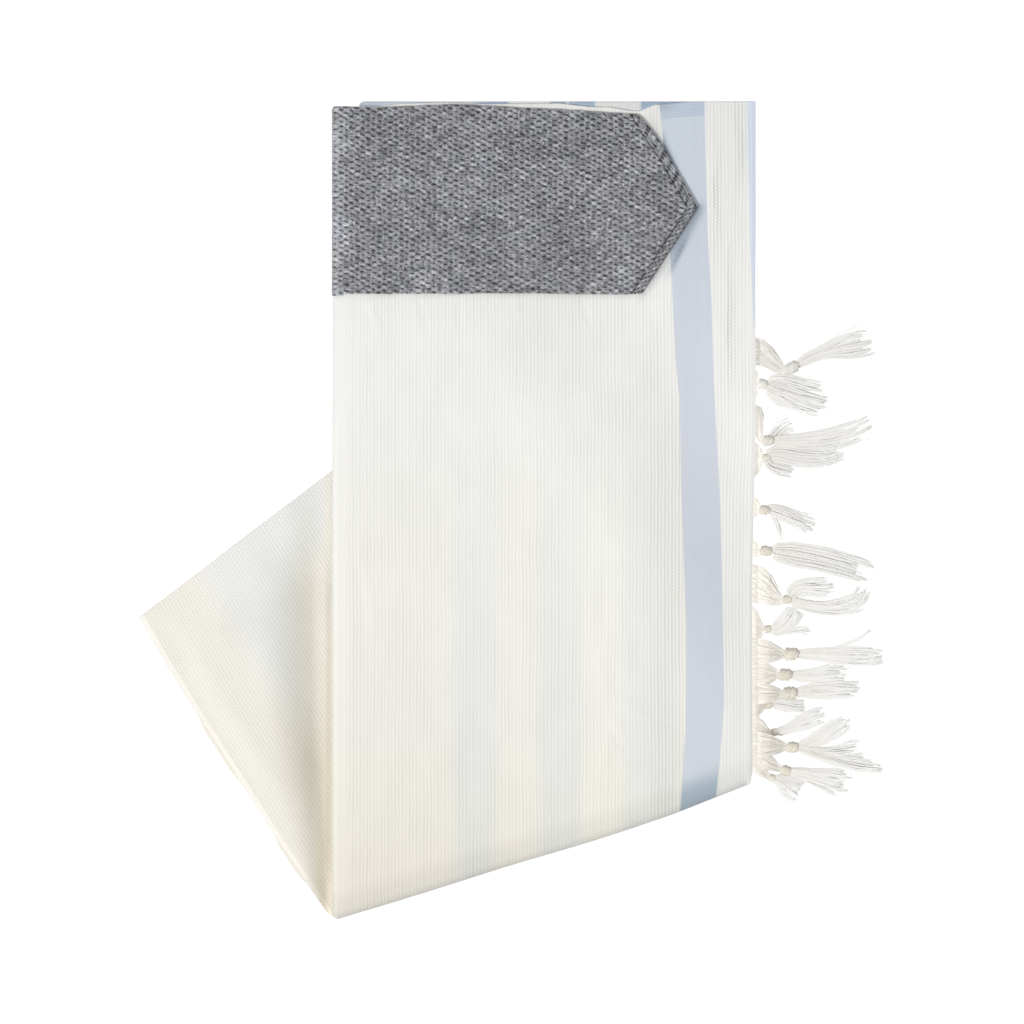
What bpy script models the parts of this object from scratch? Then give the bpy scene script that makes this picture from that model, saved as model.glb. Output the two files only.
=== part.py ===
"""Folded tallit: a ribbed white prayer shawl with a grey woven neckband and knotted fringe.

The shawl is folded lengthwise into a narrow strip and then once across, on a slant, so that the
shorter half runs under the front and shows as a flap at its left. It lies flat. The origin is
the middle of its outline on the surface it lies on, +Y points at the neck edge and +Z is up.
"""

import math
import random
from collections import namedtuple
from functools import partial

import bmesh
import bpy
from mathutils import Vector

MM = 0.001

# Plan of the folded shawl
CLOTH_WIDTH = 610 * MM  # neck edge to far edge of the opened shawl
STRIP_WIDTH = 220.2 * MM  # the width that its length is folded to
LEFT_FOLD_LENGTH = 423.8 * MM  # front, from the neck edge down the left fold
RIGHT_FOLD_LENGTH = 354.6 * MM
HEM_FALL = 2.6 * MM  # the neck edge is this much lower at the left fold
RIGHT_X = 127.4 * MM  # the right fold, from the middle of the outline
NECK_Y = 213.5 * MM  # the neck edge at the right fold
BACK_LEAN = math.radians(122.6)  # direction of the back strip's edges, up from the fold
HIDDEN_SLIP = 7.3 * MM  # by which the back strip's hidden corner has slipped out of square
FLAP_BULGE = 1.8 * MM  # of the flap's outer fold, between its corners
FLAP_BULGE_DEPTH = 70 * MM  # across the flap, over which the bulge dies away
FOLD_BULGE = 1.5 * MM  # of the crosswise fold, between its corners
RIGHT_LEAN = 2.1 * MM  # by which the right fold's lower part lies further in
LEAN_TOP = 58 * MM  # Y from which it leans
LEAN_RUN = 104 * MM
LEAN_INSIDE = 40 * MM  # width of cloth that it draws in
LEAN_OUTSIDE = 14 * MM  # width of fringe that it draws in

# Cloth and stacks
CLOTH = 1.2 * MM
GAP = 0.3 * MM
RIB_PITCH = 2.1 * MM
RIB_HEIGHT = 0.3 * MM
STACK = 6.9 * MM  # height of one folded stack, to the smooth face of its top layer
BACK_TOP = 7.1 * MM
FRONT_REST = BACK_TOP + RIB_HEIGHT + GAP  # the front stack lies on the back one here
FOLD_RADIUS = 3.0 * MM  # of the lengthwise folds at the sides
WRAP = math.radians(115)  # how far the top layer goes round a side fold
DRAPE_STEPS = (1.0, 0.85, 0.68, 0.5, 0.32, 0.15, 0.0)
DRAPE_RUN_LEFT = 122 * MM  # over which the front stack comes down to the surface, at its left fold
DRAPE_RUN_CORNER = 122 * MM  # above the back strip's hidden corner
DRAPE_RUN_RIGHT = 160 * MM  # at the right fold
NOSE_ANGLES = (62, 30, 0, -30, -60)  # degrees round the crosswise fold, from its top
LAYER = 1.0 * MM
SATIN_FROM = 175.5 * MM  # smooth woven band, measured from the left fold
SATIN_TO = 197.5 * MM

# Neckband
BAND_DROP = 97.0 * MM  # its height
BAND_CLOTH = 1.4 * MM
BAND_CLEAR = 0.45 * MM  # between the front's ribs and the neckband, which bridges the drape's curve
BAND_SHOULDER = 160.5 * MM  # left fold to where its end begins to taper
BAND_TIP = 189.5 * MM  # left fold to its point
BAND_TIP_SHARE = 0.454  # height of the point, as a share of the band's height
BAND_TIP_LIFT = 1.8 * MM
BAND_HEM = 4.4 * MM  # width of the turned hem at the pointed end
BAND_HEM_RISE = 0.4 * MM

# Fringe
KNOT_SIDES = 8
KNOT_HALF_LENGTH = 3.4 * MM
KNOT_HALF_WIDTH = 2.9 * MM
KNOT_HALF_HEIGHT = 2.6 * MM
KNOT_Z = 3.2 * MM
KNOT_END_WIDTH = 1.8 * MM  # half the spread of the root locks where they leave the knot
KNOT_END_HEIGHT = 1.0 * MM
ROOT_Z = 1.15 * MM  # of the fringed layer, above the stack's underside
ROOT_IN = 0.25 * MM  # how far the root locks reach past the fold
ROOT_HEIGHT = 0.55 * MM  # of the upper root locks over the fringed layer's middle
TAIL_START = 0.75  # a tail's half width behind its knot, as a share of the knot's
TAIL_Z = 2.7 * MM
TIP_Z = 2.3 * MM
LOCK_STEPS = (0.22, 0.6, 1.0)  # shares of a tail's length
LOCK_HEIGHTS = (1.15 * MM, 1.2 * MM, 0.8 * MM)  # of the upper locks over the tail's middle
LOCK_RADII = (0.52 * MM, 1.15 * MM, 0.45 * MM)
WIDE_TAIL = 7.5 * MM  # a narrower tail has half as many locks
LANE_FILL = 0.27  # a lock's radius is at most this share of the tail's half width

HemPoint = namedtuple("HemPoint", "across drop")
# How far the front's neck edge lies below the level of its right end.
HEM_WAVE = (
    HemPoint(0 * MM, HEM_FALL),
    HemPoint(51 * MM, 3.1 * MM),
    HemPoint(87 * MM, 2.1 * MM),
    HemPoint(139 * MM, 6.2 * MM),
    HemPoint(160 * MM, 5.7 * MM),
    HemPoint(170 * MM, 2.1 * MM),
    HemPoint(186 * MM, 0.0 * MM),
    HemPoint(STRIP_WIDTH, 0.0 * MM),
)

Layer = namedtuple("Layer", "side hem")
# How far each hidden layer stays behind the stack's folds and its neck edge, from below.
FRONT_LAYERS = (
    Layer(0.6 * MM, 3.4 * MM),
    Layer(0.8 * MM, 2.0 * MM),
    Layer(2.0 * MM, 4.2 * MM),
    Layer(2.0 * MM, 2.8 * MM),
)
BACK_LAYERS = (
    Layer(0.7 * MM, 2.4 * MM),
    Layer(1.5 * MM, 0.9 * MM),
    Layer(2.1 * MM, 3.1 * MM),
    Layer(2.1 * MM, 1.4 * MM),
    Layer(2.1 * MM, 2.2 * MM),
)
LAYER_GROOVE = 0.7 * MM
LOW_LAYER_SLIP = 2.2 * MM  # the lowest back layer stands out here and there
LOW_LAYER_SLIPS = ((0.42, 0.10), (0.80, 0.07))  # middle and half length, as shares of the edge

Tassel = namedtuple("Tassel", "root_from root_to knot_out knot_down")
# Places along the right fold are measured down from the neck edge, and out from the fold.
TASSELS = (
    Tassel(122.0 * MM, 137.0 * MM, 19.2 * MM, 138.3 * MM),
    Tassel(142.0 * MM, 151.0 * MM, 7.0 * MM, 147.5 * MM),
    Tassel(158.0 * MM, 172.0 * MM, 7.2 * MM, 176.0 * MM),
    Tassel(177.0 * MM, 188.0 * MM, 8.0 * MM, 186.3 * MM),
    Tassel(208.0 * MM, 216.0 * MM, 6.5 * MM, 212.7 * MM),
    Tassel(229.0 * MM, 237.0 * MM, 7.2 * MM, 234.0 * MM),
    Tassel(240.0 * MM, 261.0 * MM, 15.6 * MM, 259.0 * MM),
    Tassel(264.0 * MM, 279.0 * MM, 8.4 * MM, 274.5 * MM),
    Tassel(281.0 * MM, 290.0 * MM, 18.7 * MM, 287.6 * MM),
    Tassel(292.5 * MM, 302.0 * MM, 15.6 * MM, 298.2 * MM),
    Tassel(304.0 * MM, 311.0 * MM, 18.0 * MM, 308.0 * MM),
    Tassel(312.5 * MM, 319.0 * MM, 8.2 * MM, 316.0 * MM),
    Tassel(321.5 * MM, 330.0 * MM, 10.4 * MM, 326.8 * MM),
    Tassel(332.0 * MM, 338.0 * MM, 19.4 * MM, 336.0 * MM),
    Tassel(338.6 * MM, 342.8 * MM, 17.2 * MM, 347.8 * MM),
    Tassel(343.8 * MM, 348.2 * MM, 10.4 * MM, 354.0 * MM),
)

Tail = namedtuple("Tail", "tassel mid_out mid_down tip_out tip_down spread")
# One row a tail. A tassel with two tails parts behind its knot.
TAILS = (
    Tail(1, 37.4 * MM, 127.4 * MM, 61.4 * MM, 124.3 * MM, 11 * MM),
    Tail(2, 22.0 * MM, 149.5 * MM, 36.5 * MM, 155.5 * MM, 15 * MM),
    Tail(3, 30.7 * MM, 177.3 * MM, 60.8 * MM, 167.4 * MM, 9 * MM),
    Tail(4, 23.5 * MM, 187.4 * MM, 44.0 * MM, 188.6 * MM, 7 * MM),
    Tail(5, 16.5 * MM, 214.0 * MM, 29.1 * MM, 221.0 * MM, 6 * MM),
    Tail(6, 28.6 * MM, 235.6 * MM, 61.4 * MM, 245.4 * MM, 8 * MM),
    Tail(7, 30.5 * MM, 252.5 * MM, 44.5 * MM, 249.6 * MM, 5 * MM),
    Tail(7, 33.0 * MM, 263.5 * MM, 57.2 * MM, 257.2 * MM, 7 * MM),
    Tail(8, 16.0 * MM, 271.0 * MM, 21.5 * MM, 268.2 * MM, 5 * MM),
    Tail(9, 43.7 * MM, 286.3 * MM, 66.6 * MM, 286.0 * MM, 11 * MM),
    Tail(10, 31.5 * MM, 298.0 * MM, 49.0 * MM, 296.9 * MM, 7 * MM),
    Tail(11, 36.5 * MM, 308.0 * MM, 55.0 * MM, 306.9 * MM, 6 * MM),
    Tail(12, 16.5 * MM, 316.2 * MM, 25.0 * MM, 316.2 * MM, 4 * MM),
    Tail(13, 23.0 * MM, 324.2 * MM, 36.5 * MM, 319.6 * MM, 5 * MM),
    Tail(14, 33.5 * MM, 331.0 * MM, 48.5 * MM, 323.2 * MM, 6 * MM),
    Tail(14, 42.0 * MM, 340.6 * MM, 66.0 * MM, 346.0 * MM, 7 * MM),
    Tail(15, 33.0 * MM, 352.0 * MM, 50.0 * MM, 354.5 * MM, 7 * MM),
    Tail(16, 18.0 * MM, 359.0 * MM, 24.5 * MM, 362.0 * MM, 6 * MM),
)
# (share of the width, upper or lower) of each lock, round the knot
FORK_LANES = ((0.7, 1), (-0.3, 1), (0.3, -1), (-0.7, -1))
NARROW_LANES = ((0.7, 1), (-0.3, 1), (-0.7, -1), (0.3, -1))
ROOT_SECTIONS = ((0.45, 0.5 * MM), (1.0, 0.45 * MM))  # (share of its length, radius)
ROOT_FACES = (0, 1, 3, 4, 5, 7)  # which of the knot's end faces a root lock grows from
ROOT_LANES = ((0.9, 1), (0.3, 1), (-0.6, 1), (-0.9, -1), (-0.3, -1), (0.6, -1))
TAIL_LANES = (
    (0.86, 1), (0.37, 1), (-0.12, 1), (-0.61, 1),
    (-0.86, -1), (-0.37, -1), (0.12, -1), (0.61, -1),
)

Finish = namedtuple("Finish", "name color roughness")
WHITE_CLOTH = Finish("ribbed_white_cloth", (0.84, 0.83, 0.79), 0.85)
FOLDED_CLOTH = Finish("folded_layers", (0.80, 0.79, 0.76), 0.9)
STRIPED_CLOTH = Finish("striped_layer", (0.60, 0.67, 0.75), 0.8)
BAND_WEAVE = Finish("grey_neckband_weave", (0.21, 0.21, 0.23), 0.9)
FRINGE_YARN = Finish("fringe_yarn", (0.88, 0.87, 0.84), 0.85)

# Worked out from the sizes above
LEFT_X = RIGHT_X - STRIP_WIDTH
CORNER_LEFT = Vector((LEFT_X, NECK_Y - HEM_FALL - LEFT_FOLD_LENGTH))
CORNER_RIGHT = Vector((RIGHT_X, NECK_Y - RIGHT_FOLD_LENGTH))
FOLD_LINE = (CORNER_RIGHT - CORNER_LEFT).normalized()
FOLD_OUT = Vector((FOLD_LINE.y, -FOLD_LINE.x))
BACK_UP = Vector((math.cos(BACK_LEAN), math.sin(BACK_LEAN)))
FLAP_CORNER = CORNER_LEFT + BACK_UP * (CLOTH_WIDTH - LEFT_FOLD_LENGTH)
HIDDEN_CORNER = CORNER_RIGHT + BACK_UP * (CLOTH_WIDTH - RIGHT_FOLD_LENGTH + HIDDEN_SLIP)
NOSE = (FRONT_REST + STACK) / 2  # radius of the crosswise fold, to the smooth face


def linear(table, at):
    """Value of a two-column table at a place in its first column."""
    for (x0, y0), (x1, y1) in zip(table, table[1:]):
        if at <= x1:
            return y0 + (y1 - y0) * max(0.0, at - x0) / (x1 - x0)
    return table[-1][1]


def ease(share):
    """Rises smoothly from 0 to 1."""
    share = min(1.0, max(0.0, share))
    return share * share * (3 - 2 * share)


def spread(start, end, count):
    """Evenly spaced values, both ends included."""
    return [start + (end - start) * i / (count - 1) for i in range(count)]


# ---------------------------------------------------------------- the front's surface


def neck_edge(x):
    """Y of the front's neck edge."""
    return NECK_Y - linear(HEM_WAVE, x - LEFT_X)


def bottom_fold(x):
    """Y of the crosswise fold's outermost line, which bulges a little."""
    share = (x - LEFT_X) / STRIP_WIDTH
    return CORNER_LEFT.y + (x - LEFT_X) * FOLD_LINE.y / FOLD_LINE.x - FOLD_BULGE * 4 * share * (1 - share)


def nose_start(x):
    """Y where the front's flat face turns into the crosswise fold."""
    return bottom_fold(x) + NOSE / FOLD_LINE.x


def drape_edges(x):
    """Y of the back strip's hidden upper edge and of its hidden right edge, both drawn on."""
    rise = (HIDDEN_CORNER - FLAP_CORNER).y / (HIDDEN_CORNER - FLAP_CORNER).x
    foot = nose_start(RIGHT_X) + 4 * MM
    fall = (foot - HIDDEN_CORNER.y) / (RIGHT_X - HIDDEN_CORNER.x)
    beyond = x - HIDDEN_CORNER.x
    return HIDDEN_CORNER.y + beyond * rise, HIDDEN_CORNER.y + beyond * fall


def drape_edge(x):
    """Y of the hidden edge of the back strip from which the front stack comes down."""
    return min(drape_edges(x))


def drape_run(x):
    """Length along Y over which the front stack comes down to the surface."""
    runs = (
        (LEFT_X, DRAPE_RUN_LEFT),
        (HIDDEN_CORNER.x, DRAPE_RUN_CORNER),
        (RIGHT_X, DRAPE_RUN_RIGHT),
    )
    return linear(runs, x)


def rest_height(x, y):
    """Height of the front stack's underside: it comes down gently beyond both hidden edges."""
    upper, right = drape_edges(x)
    upper_share = ease(1 - (y - upper) / DRAPE_RUN_LEFT)
    return FRONT_REST * upper_share * ease(1 - (y - right) / DRAPE_RUN_RIGHT)


def front_rows(x, top, bottom):
    """Y of each row of the front, from its neck edge to the crosswise fold."""
    return [top] + [drape_edge(x) + drape_run(x) * step for step in DRAPE_STEPS] + [bottom]


def side_turn(x):
    """(nearest x on the flat face, side, angle round the side fold) for a column place.

    Columns beyond the flat face are given as a length round the fold.
    """
    low = LEFT_X + FOLD_RADIUS
    high = RIGHT_X - FOLD_RADIUS
    if x < low:
        return low, -1, (low - x) / FOLD_RADIUS
    if x > high:
        return high, 1, (x - high) / FOLD_RADIUS
    return x, 0, 0.0


def around_side(flat_point, normal, side, angle, lift):
    """A point on a side fold that begins at flat_point, moved out of the surface by lift."""
    reach = FOLD_RADIUS + lift
    outward = Vector((side, 0, 0)) * reach * math.sin(angle)
    return flat_point + outward + normal * (reach * math.cos(angle) - FOLD_RADIUS)


def front_point(column, y, lift=0.0):
    """A point of the front's upper face, from its column place and y."""
    x, side, angle = side_turn(column)
    return around_side(Vector((x, y, rest_height(x, y) + STACK)), Vector((0, 0, 1)), side, angle, lift)


def nose_point(column, angle, lift=0.0):
    """A point on the crosswise fold, at an angle from its outermost line."""
    x, side, turn = side_turn(column)
    level = (rest_height(x, nose_start(x)) + STACK) / 2
    flat = Vector((
        x,
        nose_start(x) - NOSE * math.cos(angle) / FOLD_LINE.x,
        level + level * math.sin(angle),
    ))
    normal = Vector((FOLD_OUT.x * math.cos(angle), FOLD_OUT.y * math.cos(angle), math.sin(angle)))
    # Below the fold's middle the layer goes straight on into the back strip's underside.
    turn *= max(0.12, math.sin(angle))
    return around_side(flat, normal, side, turn, lift)


# ---------------------------------------------------------------- building tools


def block(columns, rows, levels):
    """A closed block in counting space: x counts columns, y rows and z levels."""
    mesh = bmesh.new()
    bmesh.ops.create_grid(mesh, x_segments=columns - 1, y_segments=rows - 1, size=1)
    for vert in mesh.verts:
        vert.co.x = round((vert.co.x + 1) / 2 * (columns - 1))
        vert.co.y = round((vert.co.y + 1) / 2 * (rows - 1))
    cap = mesh.faces[:]
    for level in range(1, levels):
        grown = bmesh.ops.extrude_face_region(mesh, geom=cap, use_keep_orig=True)
        if level > 1:
            bmesh.ops.delete(mesh, geom=cap, context="FACES")
        cap = [item for item in grown["geom"] if isinstance(item, bmesh.types.BMFace)]
        for vert in {vert for face in cap for vert in face.verts}:
            vert.co.z = level
    return mesh


def count_of(vert):
    """(column, row, level) of a vertex in counting space."""
    return tuple(round(value) for value in vert.co)


def plain_inside(mesh, kept_columns):
    """Takes the column edges out of a wall's inner side, all but the kept ones."""
    loose = []
    for edge in mesh.edges:
        (column, row, level), (other_column, other_row, other_level) = map(count_of, edge.verts)
        on_inner_side = level == 0 or other_level == 0
        if column == other_column and on_inner_side and column not in kept_columns:
            loose.append(edge)
    bmesh.ops.dissolve_edges(mesh, edges=loose, use_verts=True)


def place_all(mesh, place):
    """Moves each vertex from counting space to its place."""
    for vert in mesh.verts:
        vert.co = drawn_in(place(*count_of(vert)))
    face_outwards(mesh)


def drawn_in(point):
    """The point after the right fold's lower part has been drawn in a little."""
    out = point.x - RIGHT_X
    share = 1 - out / LEAN_OUTSIDE if out > 0 else 1 + out / LEAN_INSIDE
    lean = RIGHT_LEAN * max(0.0, share) * ease((LEAN_TOP - point.y) / LEAN_RUN)
    return point - Vector((lean, 0, 0))


def face_outwards(mesh):
    """Turns a closed mesh's faces to the outside."""
    bmesh.ops.recalc_face_normals(mesh, faces=mesh.faces[:])
    if mesh.calc_volume(signed=True) < 0:
        bmesh.ops.reverse_faces(mesh, faces=mesh.faces[:])


def finished_object(name, mesh, finish, parts):
    """A named object with its own material."""
    data = bpy.data.meshes.new(name)
    mesh.to_mesh(data)
    mesh.free()
    made = bpy.data.objects.new(name, data)
    parts.objects.link(made)
    material = bpy.data.materials.new(finish.name)
    material.use_nodes = True
    shader = material.node_tree.nodes["Principled BSDF"]
    shader.inputs["Base Color"].default_value = (*finish.color, 1.0)
    shader.inputs["Roughness"].default_value = finish.roughness
    shader.inputs["Metallic"].default_value = 0.0
    data.materials.append(material)
    return made


def ribbed_columns(start, end, plain_from, plain_to):
    """(places, rib heights): a crest and a groove for each rib, none in the plain stretch."""
    places, heights = [], []
    count = round((end - start) / RIB_PITCH)
    for i in range(2 * count + 1):
        place = start + (end - start) * i / (2 * count)
        if plain_from < place < plain_to:
            continue
        places.append(place)
        heights.append(RIB_HEIGHT if i % 2 else 0.0)
    return places, heights


# ---------------------------------------------------------------- cloth panels


def front_columns():
    """(places, rib heights) of the front panel's columns, its two side folds included."""
    turn = FOLD_RADIUS * WRAP
    low, high = LEFT_X + FOLD_RADIUS, RIGHT_X - FOLD_RADIUS
    places, heights = ribbed_columns(low, high, LEFT_X + SATIN_FROM, LEFT_X + SATIN_TO)
    places[hidden_corner_column(places)] = HIDDEN_CORNER.x
    left = spread(low - turn, low, 4)[:-1]
    right = spread(high, high + turn, 4)[1:]
    return left + places + right, [0.0] * 3 + heights + [0.0] * 3


def make_front_panel(parts):
    """The front: its top layer, round both side folds and the crosswise fold."""
    places, heights = front_columns()
    rows = len(DRAPE_STEPS) + 2
    last = len(places) - 1
    sides = {0, 1, 2, 3, last - 3, last - 2, last - 1, last}
    mesh = block(len(places), rows + len(NOSE_ANGLES), 2)
    plain_inside(mesh, sides | set(range(3, last - 3, 7)) | {hidden_corner_column(places)})

    def place(column, row, level):
        at = places[column]
        lift = heights[column] if level else -CLOTH
        if row >= rows:
            return nose_point(at, math.radians(NOSE_ANGLES[row - rows]), lift)
        x = side_turn(at)[0]
        return front_point(at, front_rows(x, neck_edge(x), nose_start(x))[row], lift)

    place_all(mesh, place)
    return finished_object("front_panel", mesh, WHITE_CLOTH, parts)


def hidden_corner_column(places):
    """Index of the column nearest the hidden corner, where the drape's edge bends."""
    return min(range(len(places)), key=lambda i: abs(places[i] - HIDDEN_CORNER.x))


def make_second_layer(parts):
    """The striped layer under the front, whose neck edge stands a little above the front's."""
    left = LEFT_X + 14.3 * MM
    right = RIGHT_X - FOLD_RADIUS
    places = spread(left, HIDDEN_CORNER.x, 9) + spread(HIDDEN_CORNER.x, right, 15)[1:]
    rows = len(DRAPE_STEPS) + 2
    mesh = block(len(places), rows, 2)
    corner = 2.4 * MM

    def place(column, row, level):
        x = places[column]
        top = NECK_Y - (corner if column == 0 else 0.0)
        y = front_rows(x, top, nose_start(x) + 2 * MM)[row]
        drop = CLOTH + GAP + (0.0 if level else CLOTH)
        return Vector((x, y, rest_height(x, y) + STACK - drop))

    place_all(mesh, place)
    return finished_object("second_layer", mesh, STRIPED_CLOTH, parts)


def layer_levels(layers, top):
    """(height, side inset, hem inset) of each ring of a layered edge, from the bottom."""
    thickness = top / len(layers)
    levels = []
    for i, layer in enumerate(layers):
        for share, groove in ((0.0, LAYER_GROOVE), (0.3, 0.0), (0.7, 0.0)):
            levels.append((thickness * (i + share), layer.side + groove, layer.hem + groove))
    levels.append((top, layers[-1].side + LAYER_GROOVE, layers[-1].hem + LAYER_GROOVE))
    return levels


def fold_inset(height, middle, radius, least):
    """How far a solid stays behind a fold so that it fits its inner face at a height."""
    room = (radius - CLOTH - GAP) ** 2 - (height - middle) ** 2
    return radius - math.sqrt(max(room, least * least))


def make_front_layers(parts):
    """The front stack's hidden layers: one rounded solid, layered at its edges."""
    top = STACK - 2 * CLOTH - 2 * GAP
    levels = layer_levels(FRONT_LAYERS, top)
    low, high = LEFT_X + FOLD_RADIUS, RIGHT_X - FOLD_RADIUS
    middle = spread(low, HIDDEN_CORNER.x, 6) + spread(HIDDEN_CORNER.x, high, 9)[1:]
    columns = len(middle) + 2
    rows = len(DRAPE_STEPS) + 2
    mesh = block(columns, rows, len(levels))

    def place(column, row, level):
        height, side, hem = levels[level]
        nose = fold_inset(FRONT_REST + height, NOSE, NOSE, 1.0 * MM)
        if column == 0:
            x, at = LEFT_X + side, low
            nose += FOLD_RADIUS
        elif column == columns - 1:
            x, at = RIGHT_X - side, high
            nose += FOLD_RADIUS
        else:
            x = at = middle[column - 1]
        bottom = bottom_fold(x) + (nose + GAP) / FOLD_LINE.x
        y = front_rows(at, NECK_Y - HEM_FALL - hem, bottom)[row]
        return Vector((x, y, rest_height(at, y) + height))

    place_all(mesh, place)
    return finished_object("front_layers", mesh, FOLDED_CLOTH, parts)


# ---------------------------------------------------------------- the back strip


def back_place(along, across):
    """Plan point of the back strip: along from the flap's upper corner, across from its edge."""
    inward = Vector((BACK_UP.y, -BACK_UP.x))
    share = min(1.0, max(0.0, along / (CLOTH_WIDTH - LEFT_FOLD_LENGTH)))
    bulge = FLAP_BULGE * (1 - (2 * share - 1) ** 4) * ease(1 - across / FLAP_BULGE_DEPTH)
    return FLAP_CORNER - BACK_UP * along + inward * (across - bulge)


def hem_along(across):
    """Where the back strip's upper edge crosses a rib line."""
    edge = HIDDEN_CORNER - FLAP_CORNER
    inward = Vector((BACK_UP.y, -BACK_UP.x))
    return -edge.dot(BACK_UP) / edge.dot(inward) * across


def fold_along(across, inset):
    """Where a rib line comes to within an inset of the crosswise fold's outermost line."""
    start = back_place(0, across)
    return ((start - CORNER_LEFT).dot(-FOLD_OUT) - inset) / -BACK_UP.dot(FOLD_OUT)


def front_side_along(across, x=LEFT_X):
    """Where a rib line of the back strip passes under the front's left fold."""
    return (back_place(0, across).x - x) / BACK_UP.x


def strip_end(across, tucked, corner):
    """Where a rib line of the back strip ends: an inset from the crosswise fold.

    The strip goes on to the fold's corner, but only outside the front's left fold.
    """
    open_end = min(front_side_along(across, LEFT_X + 1.0 * MM), fold_along(across, corner))
    return max(fold_along(across, tucked), open_end)


def flap_billow(point):
    """How far the flap stands up in the open: a low swell, with a trough along the front."""
    out = (LEFT_X - point.x) / MM
    low_down = ease((-point.y / MM - 10) / 40)
    swell = 1.5 * ease((out - 12) / 30) * ease((96 - out) / 40)
    ridge = 0.9 * low_down * ease(out / 4) * ease((11 - out) / 7)
    return (swell + ridge) * MM


def make_back_panel(parts):
    """The back strip's upper layer, which shows as the flap, round the flap's outer fold."""
    radius = BACK_TOP / 2
    turn = radius * WRAP
    width = (CORNER_RIGHT - CORNER_LEFT).dot(Vector((BACK_UP.y, -BACK_UP.x))) - 2 * MM
    ribbed_to = 132 * MM
    places, heights = ribbed_columns(radius, ribbed_to, 0, 0)
    outer = spread(radius - turn, radius, 4)[:-1]
    rest = spread(ribbed_to, width, 4)[1:]
    places, heights = outer + places + rest, [0.0] * 3 + heights + [0.0] * 3
    open_shares = (0.0, 0.14, 0.4, 0.66, 0.85, 0.94, 1.0)
    mesh = block(len(places), len(open_shares) + 1, 2)
    kept = {0, 1, 2, 3} | set(range(3, len(places) - 4, 12)) | set(range(len(places) - 4, len(places)))
    plain_inside(mesh, kept)
    inward = Vector((BACK_UP.y, -BACK_UP.x))

    def place(column, row, level):
        at = max(places[column], radius)
        angle = (radius - places[column]) / radius if places[column] < radius else 0.0
        start = hem_along(at)
        end = strip_end(at, NOSE + GAP, 0.8 * MM)
        shown = max(front_side_along(at), start + 12 * MM)
        along = end if row == len(open_shares) else start + (min(shown, end) - start) * open_shares[row]
        point = back_place(along, at)
        lift = flap_billow(point) * ease((at - radius) / (14 * MM))
        reach = radius + (heights[column] if level else -CLOTH)
        side = point - inward * reach * math.sin(angle)
        return Vector((side.x, side.y, BACK_TOP - radius + reach * math.cos(angle) + lift))

    place_all(mesh, place)
    return finished_object("back_panel", mesh, WHITE_CLOTH, parts)


def make_back_layers(parts):
    """The back strip's hidden layers: one rounded solid that lies flat on the surface."""
    radius = BACK_TOP / 2
    top = BACK_TOP - CLOTH - GAP
    levels = layer_levels(BACK_LAYERS, top)
    width = (CORNER_RIGHT - CORNER_LEFT).dot(Vector((BACK_UP.y, -BACK_UP.x)))
    # The first two columns fill the flap's corner, beside the crosswise fold.
    across_shares = [0.0, 1.0 * MM / width, 3.4 * MM / width, 0.08, 0.5, 1.0]
    along_shares = spread(0.0, 1.0, 22)
    mesh = block(len(across_shares), len(along_shares), len(levels))

    def slip(share, height):
        """The lowest layer stands out of the flap's edge in a few places."""
        if height > LAYER or height == 0.0:
            return 0.0
        return max(LOW_LAYER_SLIP * ease(1.6 - abs(share - at) / half) for at, half in LOW_LAYER_SLIPS)

    def place(column, row, level):
        height, side, hem = levels[level]
        side = max(side, fold_inset(height, radius, radius, 0.2 * MM) if height > radius else side)
        share = along_shares[row]
        near = side - slip(share, height)
        across = near + (width - side - 0.6 * MM - near) * across_shares[column]
        nose = fold_inset(height, NOSE, NOSE, (NOSE - CLOTH - GAP) / 2) + GAP
        start = hem_along(across) + hem
        point = back_place(start + (strip_end(across, nose, 1.2 * MM) - start) * share, across)
        return Vector((point.x, point.y, height))

    place_all(mesh, place)
    return finished_object("back_layers", mesh, FOLDED_CLOTH, parts)


# ---------------------------------------------------------------- neckband


def band_end(share):
    """X of the neckband's pointed end at a share of its height, from its lower edge."""
    low, high = LEFT_X + BAND_SHOULDER, LEFT_X + BAND_TIP
    if share < BAND_TIP_SHARE:
        return low + (high - low) * share / BAND_TIP_SHARE
    return low + (high - low) * (1 - share) / (1 - BAND_TIP_SHARE)


def make_neckband(parts):
    """The neckband: woven cloth over the front's upper end, round its left fold."""
    low = LEFT_X + FOLD_RADIUS
    turn = spread(low - FOLD_RADIUS * WRAP, low, 4)[:-1]
    body = spread(0.0, 1.0, 15)
    hem_steps = (BAND_HEM + 0.5 * MM, BAND_HEM, 0.4 * MM, 0.0)
    shares = (0.0, 0.12, 0.25, 0.38, BAND_TIP_SHARE, 0.6, 0.72, 0.86, 1.0)
    mesh = block(len(turn) + len(body) + len(hem_steps), len(shares), 2)

    def place(column, row, level):
        share = shares[row]
        end = band_end(share)
        if column < len(turn):
            at = turn[column]
        elif column < len(turn) + len(body):
            at = low + (end - 2 * BAND_HEM - low) * body[column - len(turn)]
        else:
            at = end - hem_steps[column - len(turn) - len(body)]
        x = side_turn(at)[0]
        top = neck_edge(x) - 0.5 * MM
        bottom = NECK_Y - HEM_FALL - BAND_DROP
        to_tip = math.hypot(end - at, (share - BAND_TIP_SHARE) * BAND_DROP) + LEFT_X + BAND_TIP - end
        lift = RIB_HEIGHT + BAND_CLEAR + BAND_TIP_LIFT * ease(1 - to_tip / (32 * MM))
        if level:
            hemmed = 0.3 * MM < end - at <= BAND_HEM
            lift += BAND_CLOTH + (BAND_HEM_RISE if hemmed else 0.0)
        return front_point(at, bottom + (top - bottom) * share, lift)

    place_all(mesh, place)
    return finished_object("neckband", mesh, BAND_WEAVE, parts)


# ---------------------------------------------------------------- fringe


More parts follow.
